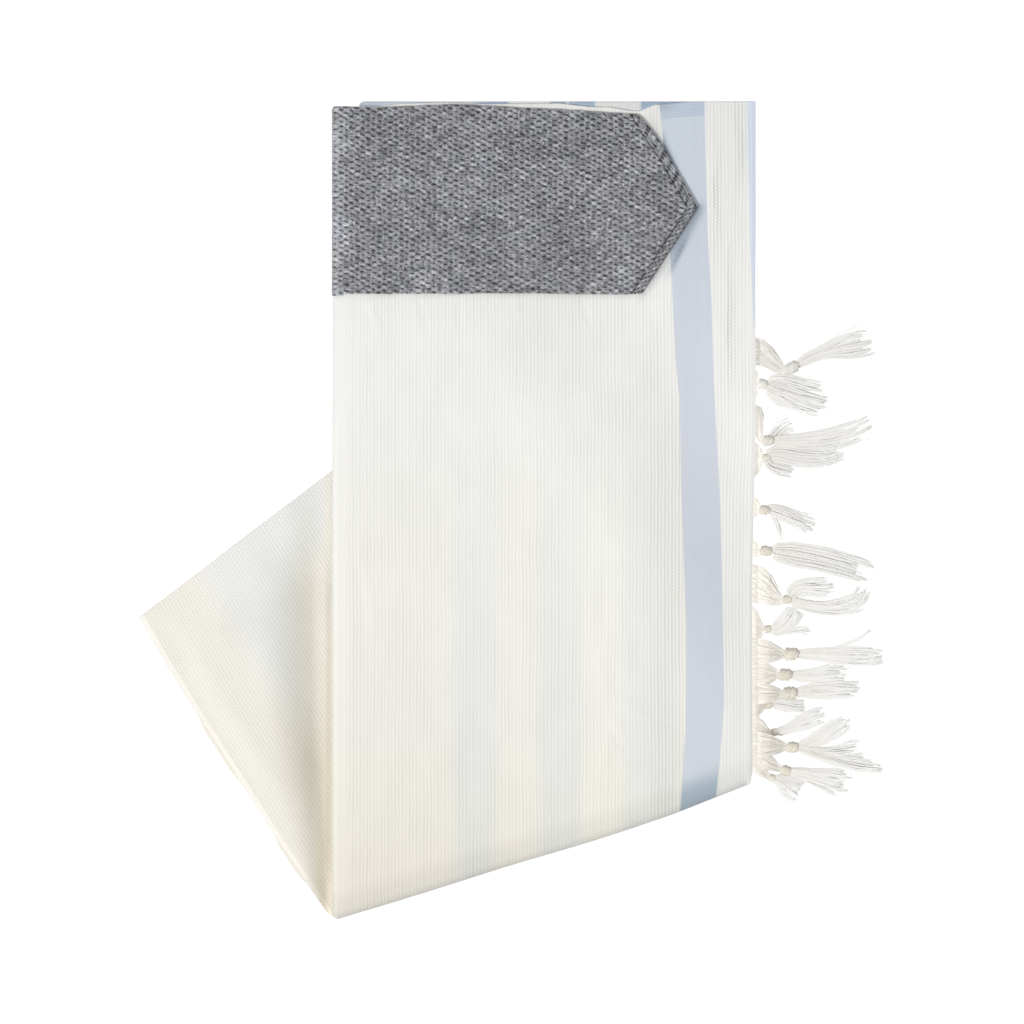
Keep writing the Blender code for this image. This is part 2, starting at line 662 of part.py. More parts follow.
def fringe_place(out, down, z):
    """A point of the fringe, from the right fold and the neck edge."""
    return Vector((RIGHT_X + out, NECK_Y - down, z))


def curve_through(start, middle, end, share):
    """A point on the smooth curve from start to end that passes through middle."""
    handle = 2 * middle - (start + end) / 2
    rest = 1 - share
    return start * rest * rest + handle * 2 * rest * share + end * share * share


def set_section(face, centre, side, up, radius):
    """Lays a lock's three corners round a centre, in the order of the face's corners."""
    middle = face.calc_center_median()
    first = face.verts[0].co - middle
    start = math.atan2(first.dot(up), first.dot(side))
    turned = (face.verts[1].co - middle).dot(side) * first.dot(up)
    turned -= (face.verts[1].co - middle).dot(up) * first.dot(side)
    step = -math.tau / 3 if turned > 0 else math.tau / 3
    for i, vert in enumerate(face.verts):
        angle = start + i * step
        vert.co = centre + (side * math.cos(angle) + up * math.sin(angle)) * radius


def grow_locks(mesh, faces, lanes, path, widths):
    """Grows a lock out of each face, in its own lane along a path."""
    up = Vector((0, 0, 1))
    fill = LANE_FILL * math.sqrt(len(TAIL_LANES) / len(lanes))
    for share, width, height, most in zip(LOCK_STEPS, widths, LOCK_HEIGHTS, LOCK_RADII):
        radius = min(most, width * fill, height * 0.9)
        ahead = (path(min(1.0, share + 0.02)) - path(share - 0.02)).normalized()
        side = up.cross(ahead).normalized()
        faces = [next_section(mesh, face) for face in faces]
        for face, (lane, level) in zip(faces, lanes):
            centre = path(share) + side * lane * width + up * level * height
            set_section(face, centre, side, up, radius)


def next_section(mesh, face):
    """Extrudes one face by itself, and gives the new end face."""
    return bmesh.ops.extrude_discrete_faces(mesh, faces=[face])["faces"][0]


def pole_faces(mesh, pole, side):
    """The end faces round a knot's pole, in order of their angle."""
    up = Vector((0, 0, 1))
    found = [face for face in mesh.faces if any((vert.co - pole).length < 1e-6 for vert in face.verts)]

    def angle(face):
        away = face.calc_center_median() - pole
        return math.atan2(away.dot(up), away.dot(side)) % math.tau

    return sorted(found, key=angle)


def make_tassel(number, tassel, parts, draw):
    """One knotted tassel: locks from the cloth's edge into the knot, and its tail."""
    tails = [tail for tail in TAILS if tail.tassel == number]
    mid_out = sum(tail.mid_out for tail in tails) / len(tails)
    mid_down = sum(tail.mid_down for tail in tails) / len(tails)
    centre = fringe_place(tassel.knot_out, tassel.knot_down, KNOT_Z)
    ahead = (fringe_place(mid_out, mid_down, KNOT_Z) - centre).normalized()
    side = Vector((0, 0, 1)).cross(ahead)

    mesh = bmesh.new()
    bmesh.ops.create_uvsphere(mesh, u_segments=KNOT_SIDES, v_segments=5, radius=1)
    for vert in mesh.verts:
        local = vert.co.copy()
        vert.co = (
            centre
            + ahead * local.z * KNOT_HALF_LENGTH
            + side * local.x * KNOT_HALF_WIDTH
            + Vector((0, 0, 1)) * local.y * KNOT_HALF_HEIGHT
        )

    knot_front = centre + ahead * KNOT_HALF_LENGTH
    for tail, faces, lanes in tail_groups(mesh, tails, centre, knot_front, side):
        middle = fringe_place(tail.mid_out, tail.mid_down, TAIL_Z)
        tip = fringe_place(tail.tip_out, tail.tip_down, TIP_Z)
        path = partial(curve_through, knot_front, middle, tip)
        half = tail.spread / 2
        widths = (KNOT_HALF_WIDTH * TAIL_START, half * draw.uniform(0.6, 0.75), half)
        grow_locks(mesh, faces, lanes, path, widths)

    root_faces = pole_faces(mesh, centre - ahead * KNOT_HALF_LENGTH, side)
    root_down = (tassel.root_from + tassel.root_to) / 2
    edge_z = rest_height(RIGHT_X, NECK_Y - root_down) + ROOT_Z
    root = fringe_place(-ROOT_IN, root_down, edge_z)
    knot_end = centre - ahead * KNOT_HALF_LENGTH
    half = (tassel.root_to - tassel.root_from) / 2
    grow_roots(mesh, root_faces, knot_end, root, half)
    for vert in mesh.verts:
        vert.co = drawn_in(vert.co)
    face_outwards(mesh)
    return finished_object(f"tassel_{number:02d}", mesh, FRINGE_YARN, parts)


def tail_groups(mesh, tails, centre, knot_front, side):
    """(tail, faces, lanes) of each tail. Of two tails, each takes the faces on its own side."""
    faces = pole_faces(mesh, knot_front, side)
    if len(tails) == 1 and tails[0].spread >= WIDE_TAIL:
        return [(tails[0], faces, TAIL_LANES)]
    if len(tails) == 1:
        return [(tails[0], faces[::2], NARROW_LANES)]
    left = [face for face in faces if (face.calc_center_median() - centre).dot(side) > 0]
    right = [face for face in faces if face not in left]
    groups = []
    for tail, own in zip(tails, (left, right)):
        upper = [face for face in own if face.calc_center_median().z > centre.z]
        lower = [face for face in own if face not in upper]
        for half in (upper, lower):
            half.sort(key=lambda face: -face.calc_center_median().dot(side))
        groups.append((tail, upper + lower, FORK_LANES))
    return groups


def grow_roots(mesh, faces, knot_end, root, half):
    """Grows the locks that run from the knot back to the cloth's edge."""
    edge_side = Vector((0, 1, 0))
    up = Vector((0, 0, 1))
    chosen = [faces[place] for place in ROOT_FACES]
    for share, radius in ROOT_SECTIONS:
        chosen = [next_section(mesh, face) for face in chosen]
        for face, (lane, level) in zip(chosen, ROOT_LANES):
            middle = knot_end + (root - knot_end) * share
            width = KNOT_END_WIDTH * (1 - share) + half * share
            height = KNOT_END_HEIGHT * (1 - share) + ROOT_HEIGHT * share
            centre = middle + edge_side * lane * width + up * level * height
            set_section(face, centre, edge_side, up, radius)


# ---------------------------------------------------------------- the whole shawl


def main():
    for old in list(bpy.data.objects):
        bpy.data.objects.remove(old, do_unlink=True)
    parts = bpy.data.collections.new("folded_tallit")
    bpy.context.scene.collection.children.link(parts)
    make_front_panel(parts)
    make_second_layer(parts)
    make_front_layers(parts)
    make_back_panel(parts)
    make_back_layers(parts)
    make_neckband(parts)
    draw = random.Random(18)
    for number, tassel in enumerate(TASSELS, start=1):
        make_tassel(number, tassel, parts, draw)


main()
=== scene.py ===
"""Dresses the folded tallit: ribbed white cloth, satin stripe, woven neckband, knotted fringe.

The shawl lies folded on a plain pale floor, seen from straight above. Each piece follows the
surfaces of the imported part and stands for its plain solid. Lengths are in metres. Across is
counted from the front's left fold, down from the neck edge, and out away from a fold.
"""

from __future__ import annotations

import enum
import logging
import math
from dataclasses import dataclass
from typing import Callable, NamedTuple, Sequence

import bmesh
import bpy
import numpy as np
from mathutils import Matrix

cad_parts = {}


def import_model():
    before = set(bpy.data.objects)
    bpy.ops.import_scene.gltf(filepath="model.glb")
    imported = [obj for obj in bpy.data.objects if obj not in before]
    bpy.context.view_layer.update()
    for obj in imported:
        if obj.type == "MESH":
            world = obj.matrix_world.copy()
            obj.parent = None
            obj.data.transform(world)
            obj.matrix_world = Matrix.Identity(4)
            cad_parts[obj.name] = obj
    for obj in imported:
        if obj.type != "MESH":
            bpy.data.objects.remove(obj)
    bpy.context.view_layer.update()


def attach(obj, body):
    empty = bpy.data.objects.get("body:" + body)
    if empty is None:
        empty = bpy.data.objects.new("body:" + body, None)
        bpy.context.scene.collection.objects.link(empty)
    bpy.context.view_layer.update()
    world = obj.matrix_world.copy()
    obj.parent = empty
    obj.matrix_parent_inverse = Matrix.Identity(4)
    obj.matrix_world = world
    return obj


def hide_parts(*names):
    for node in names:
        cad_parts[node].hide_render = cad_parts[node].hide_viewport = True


LOG = logging.getLogger("tallit")

MM = 0.001
KEY_LEVEL = 1.25  # brightness of a flat white sheet under the studio light
UP = np.array((0.0, 0.0, 1.0))
Array = np.ndarray
Mesh = bpy.types.Mesh
Piece = bpy.types.Object
Socket = bpy.types.NodeSocket


# ---------------------------------------------------------------- small tools


def ease(share: Array) -> Array:
    """Rises smoothly from 0 to 1."""
    share = np.clip(share, 0.0, 1.0)
    return share * share * (3.0 - 2.0 * share)


def rise(at: Array, start: float, run: float) -> Array:
    """Rises smoothly from 0 to 1 over a run from a start, both in millimetres."""
    return ease((at - start * MM) / (run * MM))


def fall(at: Array, end: float, run: float) -> Array:
    """Falls smoothly from 1 to 0 over a run before an end, both in millimetres."""
    return ease((end * MM - at) / (run * MM))


def hill(at: Array, middle: float, half: float) -> Array:
    """A smooth rise to 1 at a middle, and 0 beyond a half width."""
    return ease(1.0 - np.abs(at - middle) / half)


def window(at: Array, start: float, end: float, soft: float) -> Array:
    """1 between start and end, with soft borders."""
    return ease((at - start) / soft + 0.5) * ease((end - at) / soft + 0.5)


def unit(vectors: Array) -> Array:
    """Vectors of length 1."""
    return vectors / np.maximum(np.linalg.norm(vectors, axis=-1, keepdims=True), 1e-12)


def stack_xyz(x: Array, y: Array, z: Array) -> Array:
    """Points from their coordinates."""
    return np.stack(np.broadcast_arrays(x, y, z), axis=-1)


def dye(*shown: Array) -> Array:
    """Reflectance that shows as a screen colour, 0 to 255, under the studio light."""
    share = np.stack(shown, axis=-1) / 255.0
    linear = np.where(share <= 0.04045, share / 12.92, ((share + 0.055) / 1.055) ** 2.4)
    return linear / KEY_LEVEL


def lighter(tone: Array, share: Array, tint: Sequence[float] = (1.0, 1.0, 1.0)) -> Array:
    """Colours made lighter by a share, or darker by a negative one, more in one channel."""
    return tone * (1 + share[:, None] * np.array(tint))


def blend(tone: Array, other: Array, share: Array) -> Array:
    """Colours that go over to others by a share."""
    return tone + (other - tone) * share[:, None]


def smooth_noise(x: Array, y: Array, cell: float, seed: int) -> Array:
    """Soft noise between -1 and 1 that changes over a cell, given in millimetres."""
    gx, gy = np.asarray(x) / (cell * MM), np.asarray(y) / (cell * MM)
    ix, iy = np.floor(gx), np.floor(gy)
    fx, fy = ease(gx - ix), ease(gy - iy)
    low, high = (cell_noise(ix, iy + dy, seed) * (1 - fx) + cell_noise(ix + 1, iy + dy, seed) * fx
                 for dy in (0, 1))
    return low * (1 - fy) + high * fy


def cell_noise(ix: Array, iy: Array, seed: int) -> Array:
    """An even random number between -1 and 1 for each whole-numbered cell."""
    mixed = np.sin(ix * 127.1 + iy * 311.7 + seed * 74.7) * 43758.5453
    return 2.0 * (mixed - np.floor(mixed)) - 1.0


# ---------------------------------------------------------------- tables


def in_mm(*rows: Sequence[float], lengths: int = 6, kind: Callable = lambda *row: row) -> tuple:
    """Rows of a table, with millimetres turned into metres.

    Args:
        rows: The rows.
        lengths: How many of the first columns are in millimetres.
        kind: The tuple that each row becomes.
    """
    return tuple(kind(*(value * MM for value in row[:lengths]), *row[lengths:]) for row in rows)


def read_table(rows: Sequence[tuple], at: Array, column: int = 1) -> Array:
    """Value in a column of a table, at places in its first."""
    return np.interp(at, [row[0] for row in rows], [row[column] for row in rows])


def read_tones(rows: Sequence[tuple], down: Array) -> Array:
    """Reflectance of a stripe at places down from the neck, from rows of down, red, green, blue."""
    return dye(*(read_table(rows, down, channel) for channel in (1, 2, 3)))


# How far the front's neck edge lies below its right end, by place across.
HEM_WAVE = in_mm(
    (0, 2.6), (24, 2.9), (35, 1.3), (61, 0.85), (82, 1.6), (118, 1.2), (134, 3.0), (144, 3.2),
    (155, 5.0), (160, 5.2), (165, 2.9), (168, 1.9), (173, 1.4), (186, 0.2), (220.2, 0.0))
# The neckband's upper edge: down from the neck, by place across.
BAND_TOP = in_mm(
    (0, 2.4), (25, 3.3), (48, 2.2), (61, 1.7), (70, 1.9), (82, 2.5), (103, 3.8), (118, 4.2),
    (144, 6.1), (161, 6.9), (170, 3.4), (186, 1.3), (220, 1.3))
# Edges of the woven stripes: across, by place down.
SATIN_LEFT = in_mm(
    (0, 169.8), (16, 171.6), (93, 176.5), (132, 178.3), (155, 180.6), (213, 181.7),
    (270, 183.8), (327, 183.5), (343, 182.2), (368, 180.7))
SATIN_RIGHT = in_mm(
    (0, 193.7), (26, 194.2), (67, 195.2), (104, 197.3), (149, 198.6), (182, 200.4),
    (213, 201.8), (270, 203.0), (311, 203.6), (330, 202.4), (362, 199.4))
EDGE_STRIPE = in_mm((0, 215.6), (26, 216.0), (83, 217.7), (114, 219.4), (124, 222.4))

# Colours of the cloth and of its satin stripe as they show, by place down.
CLOTH_TONES = in_mm(
    (0, 240, 239, 236), (110, 242, 242, 238), (165, 244, 243, 239), (260, 242, 241, 235),
    (322, 240, 239, 232), (364, 239, 236, 227), (400, 236, 232, 222), lengths=1)
SATIN_TONES = in_mm(
    (0, 199, 207, 217), (78, 201, 208, 218), (130, 208, 213, 222), (182, 211, 216, 226),
    (235, 206, 212, 221), (345, 207, 213, 221), lengths=1)
# Brightness of the cloth to the right of the satin stripe, by place down.
RIGHT_LIGHT = in_mm(
    (0, 0.94), (60, 0.98), (104, 1.02), (207, 1.06), (310, 1.0), (360, 0.98), lengths=1)
# Depth of the painted shade in the flap's trough beside the front's left fold, by place down.
FLAP_TROUGH_SHADE = in_mm(
    (205, 0.06), (235, 0.12), (260, 0.20), (311, 0.25), (345, 0.36), (375, 0.33), (420, 0.32),
    lengths=1)
# Light on the neckband's round left side, by place across.
BAND_LIGHT = in_mm((0, 0.38), (2, 0.38), (5.5, 0.27), (10, 0.08), (16, 0.0), lengths=1)


class DeepRibs(NamedTuple):
    """A place where a few ribs stand out more."""

    across: float
    down: float
    width: float
    length: float


DEEP_RIBS = in_mm(
    (211.6, 22, 4.2, 34), (200.0, 48, 3.0, 40), (206.7, 112, 3.4, 52), kind=DeepRibs)


class BandShade(NamedTuple):
    """A line of shade beside the neckband, with its widths and strengths at both ends."""

    across: float
    down: float
    end_across: float
    end_down: float
    width: float
    last_width: float
    first: float
    last: float


BAND_SHADES = in_mm(
    (166.5, 16, 190, 55, 4.0, 0.2, 0.98, -0.55), (190, 55, 176, 78, 3.8, 4.8, 0.48, 0.43),
    (176, 78, 160, 101, 4.0, 3.0, 0.38, 0.20), (160, 100.4, 3, 100.8, 1.8, 1.8, 0.06, 0.05),
    kind=BandShade)


class ShowBand(NamedTuple):
    """A stripe of the layer below that shows faintly through the front."""

    start: float
    end: float
    from_down: float
    blue: bool


SHOW_BANDS = in_mm(
    (-6, 61, 171, False), (64, 84.5, 160, True), (86, 105, 160, False), (108, 129, 165, True),
    (130, 149.5, 240, False), (152, 179, 165, True), lengths=3, kind=ShowBand)


class FlapSpot(NamedTuple):
    """A lighter or darker place on the flap, out from the front's left fold."""

    out: float
    down: float
    half: float
    light: float


FLAP_SPOTS = in_mm(
    (27.3, 223, 20, 0.06), (42.9, 270, 24, -0.045), (9, 260, 20, -0.028),
    lengths=3, kind=FlapSpot)


class NeckStripe(NamedTuple):
    """A stripe of the second layer, as it shows above the front's neck edge."""

    start: float
    end: float
    blue: float


NECK_STRIPES = in_mm(
    (10, 51.7, 1.0), (51.7, 74.1, 0.35), (74.1, 91.2, 1.0), (113.1, 121.8, 1.0),
    (123.0, 136.5, 1.0), (160.4, 194.0, 1.05), lengths=2, kind=NeckStripe)


def neck_stripes(across: Array, soft: float) -> Array:
    """How blue the second layer is at places across."""
    shown = [window(across, row.start, row.end, soft) * row.blue for row in NECK_STRIPES]
    return np.maximum.reduce([np.zeros(len(across)), *shown])


class Crease(NamedTuple):
    """A pressed crease or a soft wrinkle of the front, turned by degrees."""

    across: float
    down: float
    length: float
    width: float
    rise: float
    turn: float


CREASES = in_mm(
    (165, 162, 62, 2.2, -0.22, 2), (150, 324, 120, 2.4, -0.20, 1), (45, 322, 76, 2.4, -0.18, -1),
    (38, 360, 44, 3.2, -0.28, 3), (62, 352, 50, 4.0, 0.25, -6), (158, 318, 34, 4.5, 0.30, 38),
    (149, 333, 30, 4.0, -0.25, 62), (120, 345, 60, 5.0, 0.22, -12), (22, 112, 30, 3.0, 0.22, 78),
    (46, 108, 26, 3.0, -0.20, 84), (66, 110, 34, 3.6, -0.22, 96), (96, 106, 24, 3.2, 0.18, 88),
    (132, 110, 28, 3.4, -0.18, 80), (18, 250, 90, 5.0, 0.18, 86), lengths=5, kind=Crease)


class TasselRoot(NamedTuple):
    """Where a tassel leaves the cloth's edge, its knot and strands, and how light it is."""

    start: float
    end: float
    knot_out: float
    knot_down: float
    strands: int
    knot: float
    light: float


TASSEL_ROOTS = in_mm(
    (122.0, 137.0, 19.2, 138.4, 280, 0.9, 0.93), (140.0, 155.0, 3.6, 147.0, 250, 0.75, 0.98),
    (157.0, 172.0, 6.8, 176.5, 290, 0.8, 0.95), (177.0, 196.0, 6.0, 185.4, 240, 0.55, 0.95),
    (206.0, 217.0, 5.4, 212.7, 160, 0.7, 0.97), (228.0, 238.0, 6.4, 234.0, 270, 0.75, 0.96),
    (240.0, 261.0, 16.5, 259.3, 300, 0.62, 1.00), (262.0, 282.0, 7.4, 274.8, 200, 0.5, 1.00),
    (278.5, 293.0, 18.7, 287.8, 250, 1.0, 1.00), (290.0, 305.0, 15.4, 298.5, 220, 0.95, 1.00),
    (301.0, 314.0, 17.8, 308.2, 230, 1.0, 1.00), (310.0, 321.0, 7.6, 314.4, 120, 0.5, 0.98),
    (318.0, 333.0, 10.4, 328.6, 190, 0.5, 0.98), (328.0, 342.0, 19.2, 336.4, 330, 0.85, 1.00),
    (336.0, 346.0, 15.8, 348.3, 240, 0.7, 1.00), (340.0, 348.6, 9.4, 352.4, 210, 0.5, 1.00),
    lengths=4, kind=TasselRoot)


class TailRow(NamedTuple):
    """A tail or a wisp: out, down and half width in mm, at a third, two thirds and its tip."""

    tassel: int
    out: tuple[float, float, float]
    down: tuple[float, float, float]
    half: tuple[float, float, float]
    fill: float


TAIL_ROWS = in_mm(
    (1, (34.8, 47.8, 60.8), (130.6, 127.5, 124.3), (3.1, 5.5, 5.5), 1.00),
    (2, (13.0, 25.5, 38.0), (149.5, 153.0, 156.0), (7.4, 7.4, 7.8), 0.95),
    (2, (15.0, 23.0, 30.0), (154.0, 158.0, 162.5), (1.8, 2.6, 3.2), 0.05),
    (3, (24.4, 42.6, 60.3), (176.9, 174.8, 167.5), (3.6, 4.9, 5.2), 0.90),
    (3, (10.5, 15.0, 20.0), (173.5, 170.0, 168.0), (2.4, 3.4, 3.6), 0.10),
    (4, (15.1, 32.0, 49.0), (183.8, 185.8, 178.5), (4.2, 4.0, 3.4), 0.74),
    (4, (8.3, 14.0, 19.8), (189.3, 191.4, 193.0), (2.1, 3.1, 3.1), 0.26),
    (5, (11.8, 21.0, 31.0), (213.4, 217.2, 221.4), (3.0, 3.5, 2.7), 0.90),
    (5, (10.0, 12.4, 14.6), (216.0, 222.0, 229.0), (0.8, 0.8, 0.6), 0.10),
    (6, (20.8, 40.6, 60.8), (235.8, 239.8, 246.5), (5.6, 5.6, 4.0), 1.00),
    (7, (23.4, 32.2, 41.6), (253.3, 253.3, 252.3), (3.9, 4.7, 3.1), 0.50),
    (7, (30.2, 46.3, 57.2), (263.2, 262.7, 253.3), (2.6, 3.9, 2.6), 0.46),
    (7, (33.3, 46.3, 58.8), (264.2, 266.3, 263.7), (0.3, 0.5, 0.6), 0.04),
    (8, (13.5, 18.2, 22.4), (273.6, 268.9, 264.2), (3.6, 3.9, 2.6), 0.92),
    (8, (14.6, 21.8, 29.1), (276.7, 275.1, 276.7), (0.5, 1.0, 1.6), 0.08),
    (9, (36.4, 51.5, 66.6), (288.1, 288.7, 288.7), (3.1, 4.2, 3.6), 0.94),
    (9, (36.4, 49.9, 60.8), (286.1, 281.9, 275.1), (0.5, 0.5, 0.8), 0.06),
    (10, (28.6, 38.5, 47.8), (299.1, 298.5, 298.0), (2.9, 4.2, 4.2), 1.00),
    (11, (32.2, 43.7, 54.6), (306.9, 306.3, 305.8), (3.4, 3.9, 2.6), 1.00),
    (12, (12.5, 19.2, 26.0), (313.6, 314.7, 314.7), (2.6, 3.1, 2.1), 1.00),
    (13, (17.7, 27.0, 36.4), (326.6, 322.5, 319.3), (2.1, 3.9, 3.1), 1.00),
    (14, (31.2, 41.1, 49.4), (332.9, 327.1, 321.4), (3.4, 4.2, 2.1), 0.38),
    (14, (36.4, 46.3, 56.7), (338.6, 338.1, 337.5), (2.1, 3.1, 3.6), 0.24),
    (14, (40.0, 53.0, 66.6), (342.2, 345.3, 347.4), (2.6, 3.1, 1.6), 0.38),
    (15, (30.2, 40.6, 50.4), (351.1, 353.1, 354.7), (3.1, 4.7, 4.7), 0.95),
    (15, (27.0, 35.9, 44.2), (354.2, 358.3, 362.5), (0.5, 0.5, 0.6), 0.05),
    (16, (14.0, 18.2, 23.4), (354.2, 357.3, 360.9), (3.1, 4.9, 5.2), 1.00),
    lengths=0, kind=TailRow)


# ---------------------------------------------------------------- the folded shawl's surfaces


@dataclass(frozen=True)
class FoldPlan:
    """Sizes of the folded shawl, and the surfaces that its cloth lies on."""

    cloth_width: float = 610 * MM
    strip_width: float = 220.2 * MM
    left_fold: float = 423.8 * MM
    right_fold: float = 354.6 * MM
    hem_fall: float = 2.6 * MM
    right_x: float = 127.4 * MM
    neck_y: float = 213.5 * MM
    back_lean: float = math.radians(122.6)
    cloth: float = 1.2 * MM
    gap: float = 0.3 * MM
    rib_height: float = 0.3 * MM
    stack: float = 6.9 * MM
    back_top: float = 7.1 * MM
    side_radius: float = 3.0 * MM
    wrap: float = math.radians(115)
    least_turn: float = 0.12
    drape_left: float = 122 * MM
    drape_right: float = 160 * MM
    drape_foot: float = 4 * MM
    hidden_slip: float = 7.3 * MM
    flap_bulge: float = 1.8 * MM
    flap_bulge_depth: float = 70 * MM
    fold_bulge: float = 1.5 * MM
    fold_fullness: float = 1.5 * MM
    lean: float = 2.1 * MM
    lean_top: float = 58 * MM
    lean_run: float = 104 * MM
    lean_inside: float = 40 * MM
    lean_outside: float = 14 * MM

    @property
    def left_x(self) -> float:
        """The front's left fold."""
        return self.right_x - self.strip_width

    @property
    def wall(self) -> float:
        """A layer of cloth and the gap beside it."""
        return self.cloth + self.gap

    @property
    def front_rest(self) -> float:
        """Height at which the front stack lies on the back one."""
        return self.back_top + self.rib_height + self.gap

    @property
    def nose(self) -> float:
        """Radius of the crosswise fold."""
        return (self.front_rest + self.stack) / 2

    @property
    def flat_ends(self) -> tuple[float, float]:
        """X where the flat face turns into the left and the right fold."""
        return self.left_x + self.side_radius, self.right_x - self.side_radius

    @property
    def mean_length(self) -> float:
        """Mean length of the front, from the neck edge to the crosswise fold."""
        return (self.left_fold + self.right_fold) / 2

    @property
    def corner_left(self) -> Array:
        """Lower end of the left fold, in plan."""
        return np.array((self.left_x, self.neck_y - self.hem_fall - self.left_fold))

    @property
    def corner_right(self) -> Array:
        """Lower end of the right fold, in plan."""
        return np.array((self.right_x, self.neck_y - self.right_fold))

    @property
    def fold_line(self) -> Array:
        """Direction of the crosswise fold."""
        return unit(self.corner_right - self.corner_left)

    @property
    def fold_out(self) -> Array:
        """Direction in plan that the crosswise fold faces."""
        return np.array((self.fold_line[1], -self.fold_line[0]))

    @property
    def back_up(self) -> Array:
        """Direction of the back strip's long edges."""
        return np.array((math.cos(self.back_lean), math.sin(self.back_lean)))

    @property
    def back_in(self) -> Array:
        """Direction from the flap's outer fold into the back strip."""
        return np.array((self.back_up[1], -self.back_up[0]))

    @property
    def flap_corner(self) -> Array:
        """The flap's upper corner, in plan."""
        return self.corner_left + self.back_up * (self.cloth_width - self.left_fold)

    @property
    def hidden_corner(self) -> Array:
        """The back strip's other upper corner, under the front."""
        length = self.cloth_width - self.right_fold + self.hidden_slip
        return self.corner_right + self.back_up * length

    @property
    def back_width(self) -> float:
        """Width of the back strip."""
        return float((self.corner_right - self.corner_left) @ self.back_in)

    def neck_edge(self, x: Array) -> Array:
        """Y of the front's neck edge."""
        return self.neck_y - read_table(HEM_WAVE, x - self.left_x)

    def bottom_fold(self, x: Array) -> Array:
        """Y of the crosswise fold's outermost line, which bulges, most at its right."""
        slope = self.fold_line[1] / self.fold_line[0]
        share = (x - self.left_x) / self.strip_width
        bulge = self.fold_bulge * 4 * share * (1 - share)
        bulge += self.fold_fullness * window(share, 0.52, 0.93, 0.34)
        return self.corner_left[1] + (x - self.left_x) * slope - bulge

    def nose_start(self, x: Array) -> Array:
        """Y where the front's flat face turns into the crosswise fold."""
        return self.bottom_fold(x) + self.nose / self.fold_line[0]

    def rest_height(self, x: Array, y: Array) -> Array:
        """Height of the front stack's underside: it comes down gently beyond both hidden edges."""
        corner, flap = self.hidden_corner, self.flap_corner
        rise = (corner - flap)[1] / (corner - flap)[0]
        foot = self.nose_start(self.right_x) + self.drape_foot
        fall = (foot - corner[1]) / (self.right_x - corner[0])
        upper, right = (corner[1] + (x - corner[0]) * slope for slope in (rise, fall))
        above = ease(1 - (y - upper) / self.drape_left)
        return self.front_rest * above * ease(1 - (y - right) / self.drape_right)

    def drawn_in(self, points: Array) -> Array:
        """Points after the right fold's lower part has been drawn in a little."""
        out = points[..., 0] - self.right_x
        near = np.where(out > 0, 1 - out / self.lean_outside, 1 + out / self.lean_inside)
        lean = self.lean * np.maximum(0.0, near) * ease((self.lean_top - points[..., 1]) / self.lean_run)
        moved = points.copy()
        moved[..., 0] -= lean
        return moved

    def side_turn(self, place: Array) -> tuple[Array, Array, Array]:
        """Nearest x on the flat face, side and angle round the side fold, of column places."""
        x = np.clip(place, *self.flat_ends)
        return x, np.sign(place - x), np.abs(place - x) / self.side_radius

    def around_side(self, flat: Array, normal: Array, side: Array, angle: Array,
                    lift: Array) -> Array:
        """Points on a side fold that begins at flat points, moved out by lift."""
        reach = self.side_radius + lift
        outward = stack_xyz(side * reach * np.sin(angle), 0.0, 0.0)
        return flat + outward + normal * (reach * np.cos(angle) - self.side_radius)[..., None]

    def front_point(self, place: Array, y: Array, lift: Array) -> Array:
        """Points of the front's upper face, from column places and y."""
        x, side, angle = self.side_turn(place)
        flat = stack_xyz(x, y, self.rest_height(x, y) + self.stack)
        return self.around_side(flat, UP, side, angle, lift)

    def nose_point(self, place: Array, angle: Array, lift: Array) -> Array:
        """Points of the crosswise fold, at angles from its outermost line."""
        x, side, turn = self.side_turn(place)
        start = self.nose_start(x)
        level = (self.rest_height(x, start) + self.stack) / 2
        flat = stack_xyz(x, start - self.nose * np.cos(angle) / self.fold_line[0],
                         level + level * np.sin(angle))
        normal = stack_xyz(*(part * np.cos(angle) for part in self.fold_out), np.sin(angle))
        turn = turn * np.maximum(self.least_turn, np.sin(angle))
        return self.around_side(flat, normal, side, turn, lift)

    def back_place(self, along: Array, across: Array) -> Array:
        """Plan points of the back strip, whose outer fold bulges a little."""
        along, across = np.broadcast_arrays(along, across)
        share = np.clip(along / (self.cloth_width - self.left_fold), 0.0, 1.0)
        bulge = self.flap_bulge * (1 - (2 * share - 1) ** 4) * ease(1 - across / self.flap_bulge_depth)
        return (self.flap_corner - self.back_up * along[..., None]
                + self.back_in * (across - bulge)[..., None])

    def hem_along(self, across: Array) -> Array:
        """Where the back strip's upper edge crosses a rib line."""
        edge = self.hidden_corner - self.flap_corner
        return -(edge @ self.back_up) / (edge @ self.back_in) * across

    def fold_along(self, across: Array, inset: Array) -> Array:
        """Where a rib line comes to within an inset of the crosswise fold."""
        start = self.back_place(np.zeros_like(across), across)
        return (((start - self.corner_left) @ -self.fold_out) - inset) / -(self.back_up @ self.fold_out)

    def front_side_along(self, across: Array, x: float) -> Array:
        """Where a rib line of the back strip passes under the line at x."""
        return (self.back_place(np.zeros_like(across), across)[..., 0] - x) / self.back_up[0]

    def strip_end(self, across: Array, tucked: Array, corner: float) -> Array:
        """Where a rib line of the back strip ends, behind the crosswise fold."""
        beside = self.front_side_along(across, self.left_x + 1.0 * MM)
        return np.maximum(
            self.fold_along(across, tucked), np.minimum(beside, self.fold_along(across, corner))
        )

    def flap_billow(self, x: Array, y: Array) -> Array:
        """How far the flap stands up in the open, with a trough along the front."""
        out = (self.left_x - x) / MM
        low_down = ease((-y / MM - 10) / 40)
        swell = 1.5 * ease((out - 12) / 30) * ease((96 - out) / 40)
        ridge = 0.9 * low_down * ease(out / 4) * ease((11 - out) / 7)
        return (swell + ridge) * MM


# ---------------------------------------------------------------- finishes


